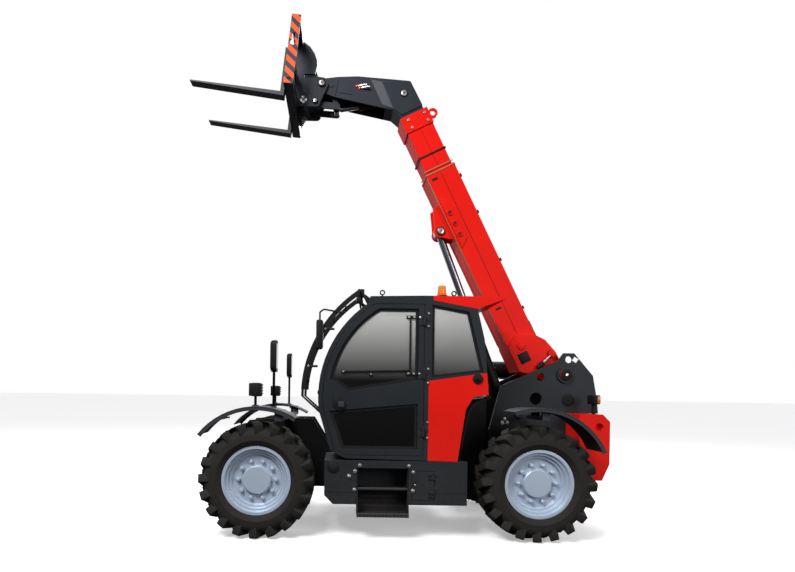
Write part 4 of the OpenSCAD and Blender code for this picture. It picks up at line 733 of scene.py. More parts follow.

# %% [markdown]
# The head's side plate is folded where it widens to the collar, so one band of it looks up and catches the light;
# that band gets a painted highlight, a lighter slate. It is made as a thin plate on each side, with the fold as a
# sloped strip between its flat and the narrower neck.

# %% Folded plates, embossed panels and couplers on the head
NECK_SIDE, TAIL_OUT = 0.130, 0.012
TAIL = [(3.604, -0.113), (3.915, -0.121), (4.055, -0.429), (3.709, -0.445), (3.60, -0.385)]
FOLD = [(4.055, TAIL_OUT, -0.429), (4.145, 0, -0.534), (3.820, 0, -0.540), (3.709, TAIL_OUT, -0.445)]
PANEL = [(4.247, -0.866), (4.217, -0.801), (4.068, -0.810), (4.160, -0.945)]
SEAM_TURN = BOOM_TURN @ Matrix.Translation((4.225, 0, -0.944)) @ Matrix.Rotation(math.radians(-37), 4, "Y")
bm = bmesh.new()
for side in SIDES:
    y = side * NECK_SIDE
    prism(bm, [(a, y, p) for a, p in TAIL], (0, side * TAIL_OUT, 0), BOOM_TURN)
    verts = [bm.verts.new(BOOM_TURN @ Vector((a, y + side * out, p))) for a, out, p in FOLD]
    bm.faces.new(verts).material_index = 2
    prism(bm, [(a, y, p) for a, p in PANEL], (0, side * 0.006, 0), BOOM_TURN, 0.005)
    brick(bm, (-0.10, y - 0.002, -0.003), (0.10, y + 0.003, 0.003), SEAM_TURN, slot=1)
# Painted highlight: the fold face, which looks up, gets a lighter copy of the slate.
FOLD_PAINTED_HIGHLIGHT = coated("fold_painted_highlight", (0.060, 0.066, 0.078, 1), (0.20, 0.22, 0.25, 1), 0.42, 0.2, 0.0, 0.5)
set_down("head_plates", bm, [SLATE, MOULDED_BLACK, FOLD_PAINTED_HIGHLIGHT], "extension", sharp=20)

bm = bmesh.new()
for side in SIDES:
    pin_disc(bm, BOOM_TURN @ Vector((3.821, side * 0.1455, -0.254)), side, 0.046)
    pin_disc(bm, BOOM_TURN @ Vector((4.328, side * 0.1805, -1.093)), side, 0.042)
set_down("head_pins", bm, PIN_LOOK, "extension")

bm = bmesh.new()
for k in (0, 1):
    base = BOOM_TURN @ Vector((4.13 - 0.035 * k, 0.131, -0.70 + 0.02 * k))
    way = BOOM_TURN.to_3x3() @ Vector((-0.40, 0.30, 0.90))
    disc(bm, base, way, 0.017, 0.085, sides=20, soft=0.004)
    disc(bm, base - way.normalized() * 0.030, way, 0.021, 0.032, sides=20, soft=0.004, slot=1)
    disc(bm, base + way.normalized() * 0.085, way, 0.012, 0.02, sides=20, soft=0.003)
set_down("head_couplers", bm, [BRIGHT_ZINC, RED_LENS], "extension")
print("head dressed with folded plates, pins and couplers")

# %% [markdown]
# The side plates of the carriage carry hazard stripes. The stripes are worked out from the object's own
# coordinates: a slanted saw tooth along the plate, kept to its outer faces.

# %% Hazard stripes on the carriage
def patterned(base, name):
    """A copy of a finish, with its tree, its film group and the object's coordinates, to draw on."""
    paint = base.copy()
    paint.name = name
    tree = paint.node_tree
    film = [n for n in tree.nodes if n.type == "GROUP" and n.node_tree == FILM][0]
    return paint, tree, film, split_spot(tree)


STRIPE_PITCH, STRIPE_SLOPE, STRIPE_TONE = 0.150, 0.96, (1.0, 0.075, 0.004, 1)
CARRIAGE_FACE = 0.5985


def striped_plate():
    """Slate with slanted stripes on the carriage's outer faces."""
    paint, tree, film, at = patterned(SLATE, "striped_slate")
    rise = math.cos(CARRIAGE_LEAN) + STRIPE_SLOPE * math.sin(CARRIAGE_LEAN)
    run = math.sin(CARRIAGE_LEAN) + STRIPE_SLOPE * math.cos(CARRIAGE_LEAN)
    slant = maths(tree, "SUBTRACT", maths(tree, "MULTIPLY", at["Z"], rise), maths(tree, "MULTIPLY", at["X"], run))
    wave = maths(tree, "FRACT", maths(tree, "DIVIDE", slant, STRIPE_PITCH))
    band = maths(tree, "GREATER_THAN", wave, 0.5)
    outside = maths(tree, "GREATER_THAN", maths(tree, "ABSOLUTE", at["Y"]), CARRIAGE_FACE)
    mask = maths(tree, "MULTIPLY", band, outside)
    tree.links.new(blend_colours(tree, mask, SLATE_TONE, STRIPE_TONE), film.inputs["Paint"])
    return paint


repaint("fork_carriage", striped_plate())

# %% Bolts and manifold on the carriage
CARRIAGE_TURN = Matrix.Translation(on_boom(*CARRIAGE_PIVOT, 0)) @ Matrix.Rotation(-CARRIAGE_LEAN, 4, "Y")
CARRIAGE_BOLTS = ((0.163, -0.219), (0.20, -0.195), (0.185, -0.25), (0.215, -0.235))
bm = bmesh.new()
for side in SIDES:
    for x, z in CARRIAGE_BOLTS:
        disc(bm, CARRIAGE_TURN @ Vector((x, side * 0.165, z)), (0, side, 0), 0.020, 0.016, sides=6)
    pin_disc(bm, CARRIAGE_TURN @ Vector((0.05, side * 0.1805, -0.217)), side, 0.030)
    brick(bm, (0.30, side * 0.590, -0.262), (0.345, side * 0.604, -0.235), CARRIAGE_TURN, 0.004, slot=1)
set_down("carriage_bolts", bm, PIN_LOOK, "carriage")
bm = bmesh.new()
brick(bm, (0.20, -0.12, -0.285), (0.268, 0.12, -0.20), CARRIAGE_TURN, 0.008)
for k in range(5):
    z = -0.295 - 0.022 * k
    brick(bm, (0.15 + 0.01 * k, -0.10, z - 0.014), (0.262, 0.10, z), CARRIAGE_TURN, 0.004)
set_down("carriage_manifold", bm, MOULDED_BLACK, "carriage")
print("carriage striped, with", len(CARRIAGE_BOLTS), "bolts a side and a manifold")

# %% [markdown]
# ## The seat, blown up by a cloth solver
#
# A cushion is foam under a tight cover. The plain solid of the pack is copied and cut into its two loose parts,
# each is shrunk a little and remeshed into an even skin, and the Cloth modifier presses it outward for twenty frames
# with no gravity. The movement is then capped, so that the cushion stays close to the solid, and one subdivision
# rounds the rest.

# %% Blow up the cushions
CUSHION_CAP, CUSHION_EDGE, CUSHION_SHRINK, CUSHION_VOXEL = 0.012, 0.035, 0.96, 0.012
PUFF_FORCE, PUFF_FRAMES = 4.0, 20


def loose_parts(mesh):
    """The separate islands of a mesh, each as a bmesh of its own."""
    whole = bmesh.new()
    whole.from_mesh(mesh)
    bmesh.ops.remove_doubles(whole, verts=whole.verts, dist=SAME_PLACE)
    whole.verts.index_update()
    done = set()
    parts = []
    for first in whole.verts:
        if first in done:
            continue
        seeds, island = [first], {first}
        while seeds:
            near = once(e.other_vert(v) for v in seeds for e in v.link_edges)
            seeds = [v for v in near if v not in island]
            island.update(seeds)
        done |= island
        part = whole.copy()
        kept = set(v.index for v in island)
        part.verts.index_update()
        bmesh.ops.delete(part, geom=[v for v in part.verts if v.index not in kept], context="VERTS")
        parts.append(part)
    whole.free()
    return parts


def blown_up(name, bm):
    """A tight foam cushion made from a plain solid."""
    low = min(v.co.z for v in bm.verts)
    middle = sum((v.co for v in bm.verts), Vector()) / len(bm.verts)
    bmesh.ops.scale(bm, vec=(CUSHION_SHRINK,) * 3, space=Matrix.Translation(-middle), verts=bm.verts)
    bevelled(bm, bm.edges, CUSHION_EDGE, segments=4, clamp=True)
    mesh = bpy.data.meshes.new(name)
    bm.to_mesh(mesh)
    bm.free()
    piece = bpy.data.objects.new(name, mesh)
    scene.collection.objects.link(piece)
    skin = piece.modifiers.new("skin", "REMESH")
    skin.mode = "VOXEL"
    skin.voxel_size = CUSHION_VOXEL
    graph = bpy.context.evaluated_depsgraph_get()
    even = bpy.data.meshes.new_from_object(piece.evaluated_get(graph))
    piece.modifiers.clear()
    piece.data = even
    rest = [v.co.copy() for v in even.vertices]
    cloth = piece.modifiers.new("cover", "CLOTH")
    cloth.settings.use_pressure = True
    cloth.settings.uniform_pressure_force = PUFF_FORCE
    cloth.settings.effector_weights.gravity = 0.0
    cloth.settings.quality = 5
    cloth.point_cache.frame_start = 1
    cloth.point_cache.frame_end = PUFF_FRAMES
    for step in range(1, PUFF_FRAMES + 1):
        scene.frame_set(step)
    graph = bpy.context.evaluated_depsgraph_get()
    puffed = bpy.data.meshes.new_from_object(piece.evaluated_get(graph))
    scene.frame_set(1)
    moved = 0.0
    for vert, home in zip(puffed.vertices, rest):
        step = vert.co - home
        if step.length > CUSHION_CAP:
            step *= CUSHION_CAP / step.length
        moved = max(moved, step.length)
        vert.co = home + step
        vert.co.z = max(vert.co.z, low)
    piece.modifiers.clear()
    piece.data = puffed
    print(name, "puffed by up to", round(moved * 1000, 1), "mm with", len(rest), "points")
    return piece


cushions = bmesh.new()
for k, part in enumerate(loose_parts(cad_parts["seat_cushions"].data)):
    puffed = blown_up("cushion_%d" % k, part)
    cushions.from_mesh(puffed.data)
    bpy.data.objects.remove(puffed)
seat = set_down("seat_foam", cushions, SEAT_VINYL, "chassis", sharp=60)
round_off = seat.modifiers.new("round_off", "SUBSURF")
round_off.levels = round_off.render_levels = 1
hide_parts("seat_cushions")

# %% [markdown]
# ## Cab trim
#
# A pane is glued in from outside, so a black border runs round it. The border is taken from the pane itself: its
# outer faces are inset, the ring that the inset makes is kept, and the ring is pushed out to a flat seal. The
# opening upper window of the door hangs on two straps and closes with a bar.

# %% Black borders round the panes
def pane_border(name, node, body, wide, thick):
    """A flat seal round each pane of a node that looks to the left."""
    bm = bmesh.new()
    bm.from_mesh(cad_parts[node].data)
    bmesh.ops.remove_doubles(bm, verts=bm.verts, dist=SAME_PLACE)
    bm.normal_update()
    face_y = max(v.co.y for v in bm.verts)
    inside = [f for f in bm.faces if f.normal.y < 0.9 or f.calc_center_median().y < face_y - 0.002]
    bmesh.ops.delete(bm, geom=inside, context="FACES")
    rims = set(bmesh.ops.inset_region(bm, faces=bm.faces[:], thickness=wide, use_boundary=True,
                                      use_even_offset=True)["faces"])
    bmesh.ops.delete(bm, geom=[f for f in bm.faces if f not in rims], context="FACES")
    grown = bmesh.ops.extrude_face_region(bm, geom=bm.faces[:])
    bmesh.ops.translate(bm, vec=(0, thick, 0), verts=moved_verts(grown))
    return set_down(name, bm, MOULDED_BLACK, body, sharp=30)


pane_border("door_seals", "door_glass", "cab_door", 0.030, 0.006)
pane_border("quarter_seal", "cab_windows", "chassis", 0.026, 0.006)
print("seals glued round the panes of the left side")

# %% Window straps, closing bar and door handle
def rod(bm, start, end, radius, slot=0, sides=16):
    """A round bar between two places."""
    start, end = Vector(start), Vector(end)
    return disc(bm, start, end - start, radius, (end - start).length, sides=sides, slot=slot)


STRAP_LOW, STRAP_HIGH, STRAP_HALF, STRAP_FACE = 1692, 2268, 17, 997
BAR_Y, BAR_R, BAR_END = 990, 0.009, (1990, 1704)
CAB_FACE = 1001
HANDLE = ((2095, 1413), (2072, 1462), (2030, 1458), (1950, 1374), (1976, 1325), (2035, 1295), (2092, 1350))
bm = bmesh.new()
for z in (STRAP_HIGH, STRAP_LOW):
    brick(bm, place(1185, 976, z - STRAP_HALF), place(1350, STRAP_FACE, z + STRAP_HALF), soft=0.004)
    for x in (1215, 1275, 1330):
        disc(bm, place(x, STRAP_FACE, z), LEFT, 0.011, 0.006, soft=0.002, slot=1)
rod(bm, place(1310, BAR_Y, STRAP_LOW), place(1310, BAR_Y, STRAP_HIGH), BAR_R)
rod(bm, place(1320, BAR_Y, 1722), place(BAR_END[0], BAR_Y, BAR_END[1]), BAR_R)
for x, z in (BAR_END, (1709, 1680)):
    disc(bm, place(x, 978, z), LEFT, 0.020, 0.018, soft=0.004)
    disc(bm, place(x, 996, z), LEFT, 0.009, 0.004, soft=0.001, slot=1)
prism(bm, [place(x, CAB_FACE, z) for x, z in HANDLE], (0, 0.012, 0), round_off=0.004)
brick(bm, place(1978, 1012, 1338), place(2040, 1022, 1400), soft=0.006, slot=2)
set_down("door_fittings", bm, [MOULDED_BLACK, BRIGHT_ZINC, FENDER_GREY], "cab_door")

# %% Hinge caps, roof eyes and the knob below the quarter window
def ring(bm, spot, axis, inner, outer, height, steps=24):
    """A flat ring around an axis, spun from a small rectangle."""
    turned = bmesh.new()
    half = height / 2
    corners = [(inner, 0, -half), (outer, 0, -half), (outer, 0, half), (inner, 0, half)]
    verts, edges = line_up(turned, corners, close=True)
    bmesh.ops.spin(turned, geom=verts + edges, cent=(0, 0, 0), axis=UP, angle=math.tau, steps=steps,
                   use_merge=True)
    bmesh.ops.remove_doubles(turned, verts=turned.verts, dist=1e-6)
    bmesh.ops.transform(turned, matrix=stand_at(spot, axis), verts=turned.verts)
    bmesh.ops.recalc_face_normals(turned, faces=turned.faces)
    band = bpy.data.meshes.new("band")
    turned.to_mesh(band)
    turned.free()
    bm.from_mesh(band)
    bpy.data.meshes.remove(band)


HINGE_X, HINGE_CAPS = 1128, (2308, 2177, 1743, 1600, 1199, 1038)
KNOB_X, KNOB_Z = 618, 1648
ROOF_EYES, EYE_Y = (1600, 865), 960
bm = bmesh.new()
for z in HINGE_CAPS:
    disc(bm, place(HINGE_X, CAB_FACE, z), LEFT, 0.011, 0.010, sides=6, slot=1)
disc(bm, place(KNOB_X, CAB_FACE, KNOB_Z), LEFT, 0.052, 0.014, soft=0.006)
disc(bm, place(KNOB_X, CAB_FACE + 14, KNOB_Z), LEFT, 0.020, 0.020, soft=0.005)
for x in ROOF_EYES:
    ring(bm, place(x, EYE_Y, 2522), LEFT, 0.016, 0.028, 0.012)
    rod(bm, place(x, EYE_Y, 2470), place(x, EYE_Y, 2500), 0.007)
set_down("cab_fittings", bm, [MOULDED_BLACK, BRIGHT_ZINC], "chassis")
print("door and cab fittings in place")

# %% Eyes on the sides of the boom collar
bm = bmesh.new()
for side in SIDES:
    ring(bm, BOOM_TURN @ Vector((3.466, side * 0.130, -0.042)), LEFT, 0.030, 0.058, 0.020, steps=36)
set_down("collar_ears", bm, RED_PAINT, "extension")

# %% [markdown]
# Behind the red side panel the wheel arch is lined with a moulded sheet. It is drawn as a bent line from the
# window down to the skirt and pushed across the machine, well clear of the steered tyre.

# %% Wheelhouse liner
LINER = [(474, 1476), (486, 1446), (540, 1432), (600, 1418), (655, 1376), (690, 1320), (722, 1190), (744, 1080),
         (760, 980), (770, 850)]
LINER_Y, LINER_WIDE = 310, 0.675
bm = bmesh.new()
verts, edges = line_up(bm, [place(x, LINER_Y, z) for x, z in LINER])
grown = bmesh.ops.extrude_edge_only(bm, edges=edges)
bmesh.ops.translate(bm, vec=(0, LINER_WIDE, 0), verts=moved_verts(grown))
liner = set_down("wheelhouse_liner", bm, MOULDED_BLACK, "chassis", sharp=50)
bm = bmesh.new()
brick(bm, place(330, 316, 815), place(775, 322, 1470))
set_down("wheelhouse_wall", bm, MOULDED_BLACK, "chassis")
wall = liner.modifiers.new("wall", "SOLIDIFY")
wall.thickness = 0.006
print("liner bends along", len(LINER), "points")

# %% [markdown]
# ## Skirt and steps
#
# The treads are pressed from sheet with rows of raised teeth, so that a muddy boot grips. Each tooth is a short
# cone, laid out as an array. Zinc bolts hold the hangers to the skirt, and the tool locker has two hinges and a
# paddle latch.

# %% Teeth on the treads
TREADS = ((484, 810, 1010), (240, 880, 1080))
TREAD_BACK, TREAD_FRONT, FIRST_TOOTH = 1322, 1830, 1348
TOOTH_ROWS, TOOTH_COLUMNS, TOOTH_PITCH, TOOTH_EDGE = 5, 17, 28, 24
RISER_FACE = 878
bm = bmesh.new()
for z, y_from, y_to in TREADS:
    for row in range(TOOTH_ROWS):
        for k in range(TOOTH_COLUMNS):
            x = FIRST_TOOTH + (k + (row % 2) / 2) * TOOTH_PITCH
            y = y_from + TOOTH_EDGE + row * (y_to - y_from - 2 * TOOTH_EDGE) / (TOOTH_ROWS - 1)
            made = bmesh.ops.create_cone(bm, cap_ends=True, cap_tris=False, segments=8, radius1=0.010, radius2=0.006,
                                         depth=0.006)
            bmesh.ops.translate(bm, vec=place(x, y, z + 27), verts=made["verts"])
    brick(bm, place(TREAD_BACK, y_to - 4, z), place(TREAD_FRONT, y_to, z + 44), soft=0.001, slot=2)
    # Painted shade: small black discs on each tread's grey front edge stand in for its holes, which look dark.
    for k in range(13):
        disc(bm, place(FIRST_TOOTH + k * 38, y_to, z + 22), LEFT, 0.012, 0.001, sides=16)
brick(bm, place(1316, RISER_FACE - 6, 262), place(1836, RISER_FACE, 484))
for row in range(3):
    for k in range(16):
        spot = place(1350 + k * 29 + (row % 2) * 14, RISER_FACE, 320 + row * 48)
        disc(bm, spot, LEFT, 0.008, 0.002, sides=8, slot=2)
set_down("step_teeth", bm, [SATIN_BLACK, BRIGHT_ZINC, FENDER_GREY], "chassis")
print("treads have", len(TREADS) * TOOTH_ROWS * TOOTH_COLUMNS, "teeth")

# %% Bolts, locker hinges, latch and plug on the skirt
WASHER = 0.003


def hex_bolt(bm, spot, side, radius):
    """A hexagon head on its washer."""
    out = Vector((0, side, 0))
    disc(bm, spot, out, radius * 1.5, WASHER, sides=20)
    disc(bm, spot + out * WASHER, out, radius, radius * 0.8, sides=6)


SKIRT_FACE = 1020
SKIRT_BOLTS = ((1857, 692), (1267, 690), (1862, 505), (1268, 499), (1811, 752), (1312, 752))
bm = bmesh.new()
for x, z in SKIRT_BOLTS:
    hex_bolt(bm, place(x, SKIRT_FACE, z), 1, 0.013)
disc(bm, place(1921, SKIRT_FACE, 641), LEFT, 0.022, 0.010, soft=0.003)
disc(bm, place(1921, SKIRT_FACE + 10, 641), LEFT, 0.011, 0.014, soft=0.003)
disc(bm, place(2083, SKIRT_FACE, 735), LEFT, 0.058, 0.012, soft=0.005, slot=1)
disc(bm, place(2083, SKIRT_FACE + 12, 735), LEFT, 0.040, 0.004, soft=0.002, slot=1)
# Painted shade: a thin black line along each half of the skirt at its bend, where the lower part tilts in and is
# darker.
for x_from, x_to in ((722, 1044), (1842, 2166)):
    brick(bm, place(x_from, SKIRT_FACE - 1, 476), place(x_to, SKIRT_FACE + 1, 482), slot=1)
set_down("skirt_bolts", bm, [BRIGHT_ZINC, MOULDED_BLACK], "chassis")

LATCH_X = 1247
bm = bmesh.new()
for z in (640, 460):
    for dx, dz in ((18, 18), (-18, 18), (18, -18), (-18, -18)):
        disc(bm, place(1080 + dx, SKIRT_FACE, z + dz), LEFT, 0.013, 0.010, sides=14, soft=0.004)
brick(bm, place(LATCH_X - 11, SKIRT_FACE, 545), place(LATCH_X + 11, SKIRT_FACE + 6, 625), soft=0.003)
disc(bm, place(LATCH_X, SKIRT_FACE + 6, 600), LEFT, 0.009, 0.005, soft=0.002)
disc(bm, place(LATCH_X, SKIRT_FACE + 6, 560), LEFT, 0.010, 0.004, soft=0.002, slot=1)
set_down("locker_fittings", bm, [MOULDED_BLACK, BRIGHT_ZINC], "locker_door")
print("skirt and locker fitted")

# %% [markdown]
# ## Lamps and mirrors
#
# The solids of the lamps and mirrors are plain boxes of the right size. Here each becomes a moulded housing with
# soft edges: the lamps get a bezel, a clear lens and an amber strip at the front, the mirrors a bright face to the
# rear, and the rear lamps a red and an amber lens. The posts are kept from the solids: the box of the
# mirror is cut off a copy of the node and a rounded head takes its place.

# %% Front lamps
LAMP_X, LAMP_Y, LAMP_Z = 2906, 850, 1504
bm = bmesh.new()
for side in SIDES:
    y = side * LAMP_Y
    brick(bm, place(LAMP_X - 62, y - 86, LAMP_Z - 66), place(LAMP_X + 40, y + 86, LAMP_Z + 76), soft=0.016)
    brick(bm, place(LAMP_X + 34, y - 82, LAMP_Z - 62), place(LAMP_X + 58, y + 82, LAMP_Z + 72), soft=0.006)
    disc(bm, place(LAMP_X + 55, y - side * 22, LAMP_Z + 4), AHEAD, 0.052, 0.004, sides=32, soft=0.002, slot=1)
    brick(bm, place(LAMP_X + 54, y + side * 38, LAMP_Z - 50), place(LAMP_X + 59, y + side * 74, LAMP_Z + 58), slot=2)
    for k in range(4):
        z = LAMP_Z - 40 + 30 * k
        brick(bm, place(LAMP_X - 70, y - 70, z), place(LAMP_X - 60, y + 70, z + 12), soft=0.002)
lamps = set_down("front_lamp_heads", bm, [MOULDED_BLACK, LAMP_CLEAR, AMBER_LENS], "chassis")
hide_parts("front_lights")

# %% Mirror heads on the posts
MIRROR_X, MIRROR_LOW, MIRROR_HIGH = 2716, 1699, 2027
MIRROR_CORNER, MIRROR_EDGE = 0.055, 0.030
bm = bmesh.new()
bm.from_mesh(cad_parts["front_posts"].data)
bmesh.ops.remove_doubles(bm, verts=bm.verts, dist=SAME_PLACE)
middle = place(MIRROR_X, 0, MIRROR_LOW)
boxes = [v for v in bm.verts if v.co.z > middle.z + 0.001 and abs(v.co.x - middle.x) < 0.036]
bmesh.ops.delete(bm, geom=boxes, context="VERTS")
for side in SIDES:
    y = side * LAMP_Y
    head = brick(bm, place(MIRROR_X - 30, y - 90, MIRROR_LOW), place(MIRROR_X + 35, y + 90, MIRROR_HIGH))
    tall = [e for v in head for e in v.link_edges if abs(e.verts[0].co.x - e.verts[1].co.x) > 0.05]
    bevelled(bm, tall, MIRROR_CORNER, segments=5)
    front = [f for f in bm.faces if f.normal.x > 0.9 and f.calc_center_median().x > place(MIRROR_X + 34, 0, 0).x
             and f.calc_center_median().y * side > 0 and len(f.verts) > 8]
    for face in front:
        bevelled(bm, face.edges, MIRROR_EDGE, segments=4)
    brick(bm, place(MIRROR_X - 33, y - 66, MIRROR_LOW + 34), place(MIRROR_X - 29, y + 66, MIRROR_HIGH - 34), slot=1)
posts = set_down("post_and_mirrors", bm, [MOULDED_BLACK, MIRROR_FACE], "chassis")
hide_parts("front_posts")
print("lamps and mirrors made,", len(boxes), "corner points of the plain boxes cut off")

# %% Rear lamps
REAR_LAMP_Y = 500
bm = bmesh.new()
for side in SIDES:
    y = side * REAR_LAMP_Y
    brick(bm, place(-848, y - 83, 1400), place(-782, y + 83, 1502), soft=0.008)
    brick(bm, place(-850, y - 78, 1404), place(-846, y, 1498), slot=1)
    brick(bm, place(-850, y + 2, 1404), place(-846, y + 78, 1498), slot=2)
    brick(bm, place(-850, y + side * 80 - 4, 1410), place(-818, y + side * 80 + 4, 1492), soft=0.002, slot=2)
    brick(bm, place(-832, y - 17, 1290), place(-798, y + 17, 1402), soft=0.004)
rear = set_down("rear_lamp_heads", bm, [MOULDED_BLACK, RED_LENS, AMBER_LENS], "chassis")
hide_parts("rear_lights")

# %% Beacon foot
BEACON_X, BEACON_Y = 957, 800
bm = bmesh.new()
disc(bm, place(BEACON_X, BEACON_Y, 2490), UP, 0.0605, 0.041, sides=32, soft=0.004)
for k in range(3):
    disc(bm, place(BEACON_X, BEACON_Y, 2545 + 28 * k), UP, 0.0495 - 0.0067 * k, 0.004, sides=32, slot=1)
set_down("beacon_foot", bm, [MOULDED_BLACK, AMBER_LENS], "chassis")
print("rear lamps and beacon foot in place")

# %% [markdown]
# ## Tower, wheels and rod
#
# A rubber plug sits on each tower plate, three bolts mark where the fender is held, and a polished rod on the boom's
# foot shows where its small cylinder is. The wheels get tall conical nuts and a valve, and a steel pipe is clamped
# along the lift cylinder.

# %% Plugs, bolts and rods on the tower
TOWER_FACE, PLUG_X, PLUG_Z = 265, -632, 1442
TOWER_BOLTS = ((99, 1209), (128, 1168), (66, 1170))
ROD_Y = 206
bm = bmesh.new()
for side in SIDES:
    disc(bm, place(PLUG_X, side * TOWER_FACE, PLUG_Z), (0, side, 0), 0.074, 0.003, sides=40, soft=0.001, slot=1)
    disc(bm, place(PLUG_X, side * (TOWER_FACE + 3), PLUG_Z), (0, side, 0), 0.062, 0.002, sides=40, slot=1)
    for x, z in TOWER_BOLTS:
        hex_bolt(bm, place(x, side * TOWER_FACE, z), side, 0.014)
set_down("tower_fittings", bm, [BRIGHT_ZINC, MOULDED_BLACK], "chassis")

bm = bmesh.new()
for side in SIDES:
    start, end = [place(x, side * ROD_Y, z) for x, z in (ROD_TOP, ROD_FOOT)]
    rod(bm, start, end, 0.015, sides=24)
    disc(bm, start - Vector((0, side * 0.026, 0)), (0, side, 0), 0.040, 0.046, sides=28, soft=0.004, slot=1)
    rod(bm, start + (end - start) * 0.62, end, 0.027, slot=2, sides=24)
set_down("levelling_rods", bm, [ROD_CHROME, RED_PAINT, SATIN_BLACK], "boom")
print("tower fitted with plugs, bolts and rods")

# %% Wheel nuts and valves
NUT_RING, NUT_BASE, NUT_COUNT = 0.192, 0.982, 10
VALVE_RING, VALVE_BASE, VALVE_LEAN = 0.268, 0.955, 0.3
for wheel, (x, side) in WHEELS.items():
    bm = bmesh.new()
    out = (0, side, 0)
    for k in range(NUT_COUNT):
        turn = math.tau * k / NUT_COUNT
        spot = Vector((x + NUT_RING * math.cos(turn), side * NUT_BASE, AXLE_Z + NUT_RING * math.sin(turn)))
        disc(bm, spot, out, 0.0225, 0.016, sides=6)
        disc(bm, spot + Vector((0, side * 0.016, 0)), out, 0.019, 0.018, sides=16, soft=0.008)
    turn = math.radians(170 if x > 0 else 95)
    c, s = math.cos(turn), math.sin(turn)
    spot = Vector((x + VALVE_RING * c, side * VALVE_BASE, AXLE_Z + VALVE_RING * s))
    disc(bm, spot, (VALVE_LEAN * c, side, VALVE_LEAN * s), 0.007, 0.040, sides=12, soft=0.002, slot=1)
    disc(bm, spot, out, 0.016, 0.006, sides=16, soft=0.002, slot=1)
    set_down("wheel_nuts_" + wheel, bm, [RIM_SILVER, MOULDED_BLACK], "wheel_" + wheel)
print(NUT_COUNT, "nuts and a valve on each wheel")

# %% Pipe along the lift cylinder
PIPE_OUT, PIPE_APART, PIPE_FROM, PIPE_SHORT = 0.078, 0.050, 0.30, 0.10
CLAMPS, CLAMP_LONG = (0.35, 0.65, 0.92), 0.022
base, top = place(LIFT_FOOT[0], 0, LIFT_FOOT[1]), on_boom(*LIFT_PIN, 0)
along = (top - base).normalized()
reach = (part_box("lift_barrel")[1][2] - base.z) / along.z
across = Vector(LEFT).cross(along)
bm = bmesh.new()
for side in SIDES:
    start = base + across * PIPE_OUT + Vector((0, side * PIPE_APART, 0))
    rod(bm, start + along * PIPE_FROM, start + along * (reach - PIPE_SHORT), 0.009, sides=12)
for share in CLAMPS:
    spot = base + along * (reach * share - 0.02)
    ring(bm, spot, along, 0.0755, 0.0815, CLAMP_LONG, steps=40)
    disc(bm, spot + across * PIPE_OUT, along, 0.016, CLAMP_LONG, sides=16)
set_down("lift_pipe", bm, SATIN_BLACK, "lift_barrel")
print("pipe runs", round(reach - PIPE_FROM - PIPE_SHORT, 2), "m along the lift cylinder")

# %% [markdown]
# The chassis is one welding. Its tower has the anthracite of the side plates, and the nose and the rails in front of
# it are darker, near black. The colour changes at a line across the machine, hidden behind the cab.

# %% Chassis darker ahead of a line
NOSE_FROM, NOSE_TONE = -0.60, (0.0045, 0.0045, 0.005, 1)


def darker_nose():
    """Anthracite behind a line across the machine and black ahead of it."""
    paint, tree, film, at = patterned(ANTHRACITE, "chassis_darker_nose")
    # The chassis is darker, near black, ahead of a line across the machine.
    ahead = maths(tree, "GREATER_THAN", at["X"], NOSE_FROM)
    tree.links.new(blend_colours(tree, ahead, ANTHRACITE_TONE, NOSE_TONE), film.inputs["Paint"])
    return paint


repaint("chassis_frame", darker_nose())
print("chassis darker ahead of a line")

# %% [markdown]
# ## Guard, fenders and hood
#
# The windscreen guard is folded from thick strip, so each rail gets a deeper skin that follows its arc. The
# moulded fenders have a rolled lip along their outer edge. A second mirror hangs from a bent arm at the left rail,
# a wiper lies on the windscreen, and the hood on the right has louvres and a latch.

# %% Rail skins and fender lips from arcs
def around(middle, radius, degrees):
    """A point of the machine's side on a circle around another, in millimetres."""
    turn = math.radians(degrees)
    return middle[0] + radius * math.cos(turn), middle[1] + radius * math.sin(turn)


def arc_band(middle, inner, outer, start, stop, y, steps=28):
    """The outline of a curved strip around a point of the machine, in millimetres and degrees."""
    turns = [start + (stop - start) * k / steps for k in range(steps + 1)]
    rim = [around(middle, outer, t) for t in turns]
    core = [around(middle, inner, t) for t in reversed(turns)]
    return [place(x, y, z) for x, z in rim + core]


SCREEN_MIDDLE, GUARD_R, STAY_R = (1080, 1450), 1345, 1285
bm = bmesh.new()
for y in (397, 887):
    prism(bm, arc_band(SCREEN_MIDDLE, GUARD_R - 46, GUARD_R + 3, 3, 55, y), (0, 0.018, 0))
for degrees in (14, 33):
    x, z = around(SCREEN_MIDDLE, STAY_R, degrees)
    rod(bm, place(x - 70, 896, z), place(x + 10, 896, z), 0.012)
    disc(bm, place(x + 26, 905, z), LEFT, 0.013, 0.006, sides=6, slot=1)
set_down("guard_rails", bm, [MOULDED_BLACK, BRIGHT_ZINC], "chassis", sharp=40)

FRONT_ARCH, REAR_ARCH, LIP_Y, LIP_OUT = (2856, 590), (15, 625), 1088, 0.012
STAY_Y, STAY_HALF = 890, 185
bm = bmesh.new()
for side in SIDES:
    y, out = side * LIP_Y, (0, side * LIP_OUT, 0)
    prism(bm, arc_band(FRONT_ARCH, 708, 740, 38, 122, y), out)
    prism(bm, arc_band(REAR_ARCH, 697, 727, 70, 156, y), out)
    for degrees in (60, 104):
        x, z = around(FRONT_ARCH, 722, degrees)
        y = side * STAY_Y
        brick(bm, place(x - 16, y - STAY_HALF, z - 14), place(x + 16, y + STAY_HALF, z + 2), soft=0.003)
set_down("fender_lips", bm, FENDER_GREY, "chassis", sharp=40)
print("rails and lips bent")

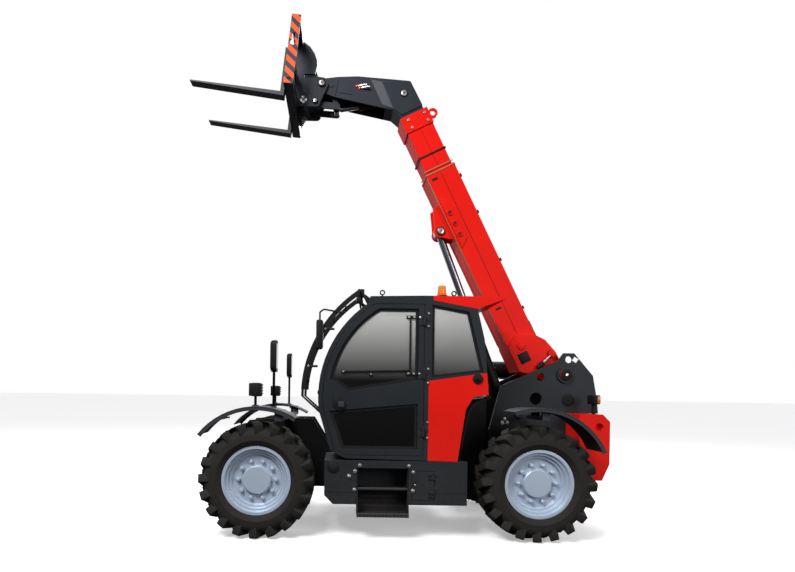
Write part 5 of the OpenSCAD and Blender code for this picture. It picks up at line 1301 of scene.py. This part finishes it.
# %% Hanging mirror, work lamps and wiper
MIRROR_ARM = ((2240, 918, 2236), (2240, 918, 2320), (2200, 918, 2350), (1990, 896, 2318))
WIPER_R, WIPER_TURNS = 1171, (2, 12, 22, 32)
bm = bmesh.new()
brick(bm, place(2206, 868, 1935), place(2276, 968, 2240), soft=0.022)
brick(bm, place(2203, 884, 1958), place(2208, 952, 2217), slot=1)
for start, end in zip(MIRROR_ARM, MIRROR_ARM[1:]):
    rod(bm, place(*start), place(*end), 0.009)
for y in (470, 820):
    brick(bm, place(1780, y - 60, 2500), place(1850, y + 60, 2575), soft=0.010)
    brick(bm, place(1846, y - 50, 2510), place(1852, y + 50, 2565), slot=2)
    rod(bm, place(1800, y, 2440), place(1810, y, 2510), 0.011)
set_down("guard_lamps", bm, [MOULDED_BLACK, MIRROR_FACE, LAMP_CLEAR], "chassis")

bm = bmesh.new()
path = []
for k, degrees in enumerate(WIPER_TURNS):
    x, z = around(SCREEN_MIDDLE, WIPER_R, degrees)
    path.append(place(x, 640 - 40 * k, z))
for start, end in zip(path, path[1:]):
    rod(bm, start, end, 0.007)
disc(bm, path[0] - Vector((0.02, 0, 0)), AHEAD, 0.022, 0.035, soft=0.005)
set_down("wiper", bm, MOULDED_BLACK, "chassis")
print("mirror, lamps and wiper hung")

# %% Louvres and latch on the hood, caps on the tank
LOUVRES, LOUVRE_PITCH, HOOD_FACE = 7, 62, -1008
bm = bmesh.new()
for k in range(LOUVRES):
    x = 1010 + LOUVRE_PITCH * k
    brick(bm, place(x, -1006, 1118), place(x + 8, -999, 1342), soft=0.002)
brick(bm, place(1590, HOOD_FACE, 930), place(1670, -1000, 970), soft=0.003, slot=1)
disc(bm, place(1630, HOOD_FACE, 950), (0, -1, 0), 0.014, 0.004, slot=2)
set_down("hood_fittings", bm, [ANTHRACITE, MOULDED_BLACK, BRIGHT_ZINC], "engine_hood")

TANK_CAP, CLEANER_Y, CLEANER_Z = (1940, -760), -600, 1830
bm = bmesh.new()
disc(bm, place(*TANK_CAP, 1180), UP, 0.055, 0.030, sides=24, soft=0.006)
disc(bm, place(*TANK_CAP, 1210), UP, 0.040, 0.012, sides=12, soft=0.003)
for x, way in ((-440, (-1, 0, 0)), (80, AHEAD)):
    disc(bm, place(x, CLEANER_Y, CLEANER_Z), way, 0.085, 0.012, sides=32, soft=0.006)
for k in range(3):
    disc(bm, place(-380 + 190 * k, CLEANER_Y, CLEANER_Z), AHEAD, 0.1115, 0.016, sides=40, soft=0.003)
set_down("tank_caps", bm, MOULDED_BLACK, "chassis")
print("hood, tank and air cleaner fitted")
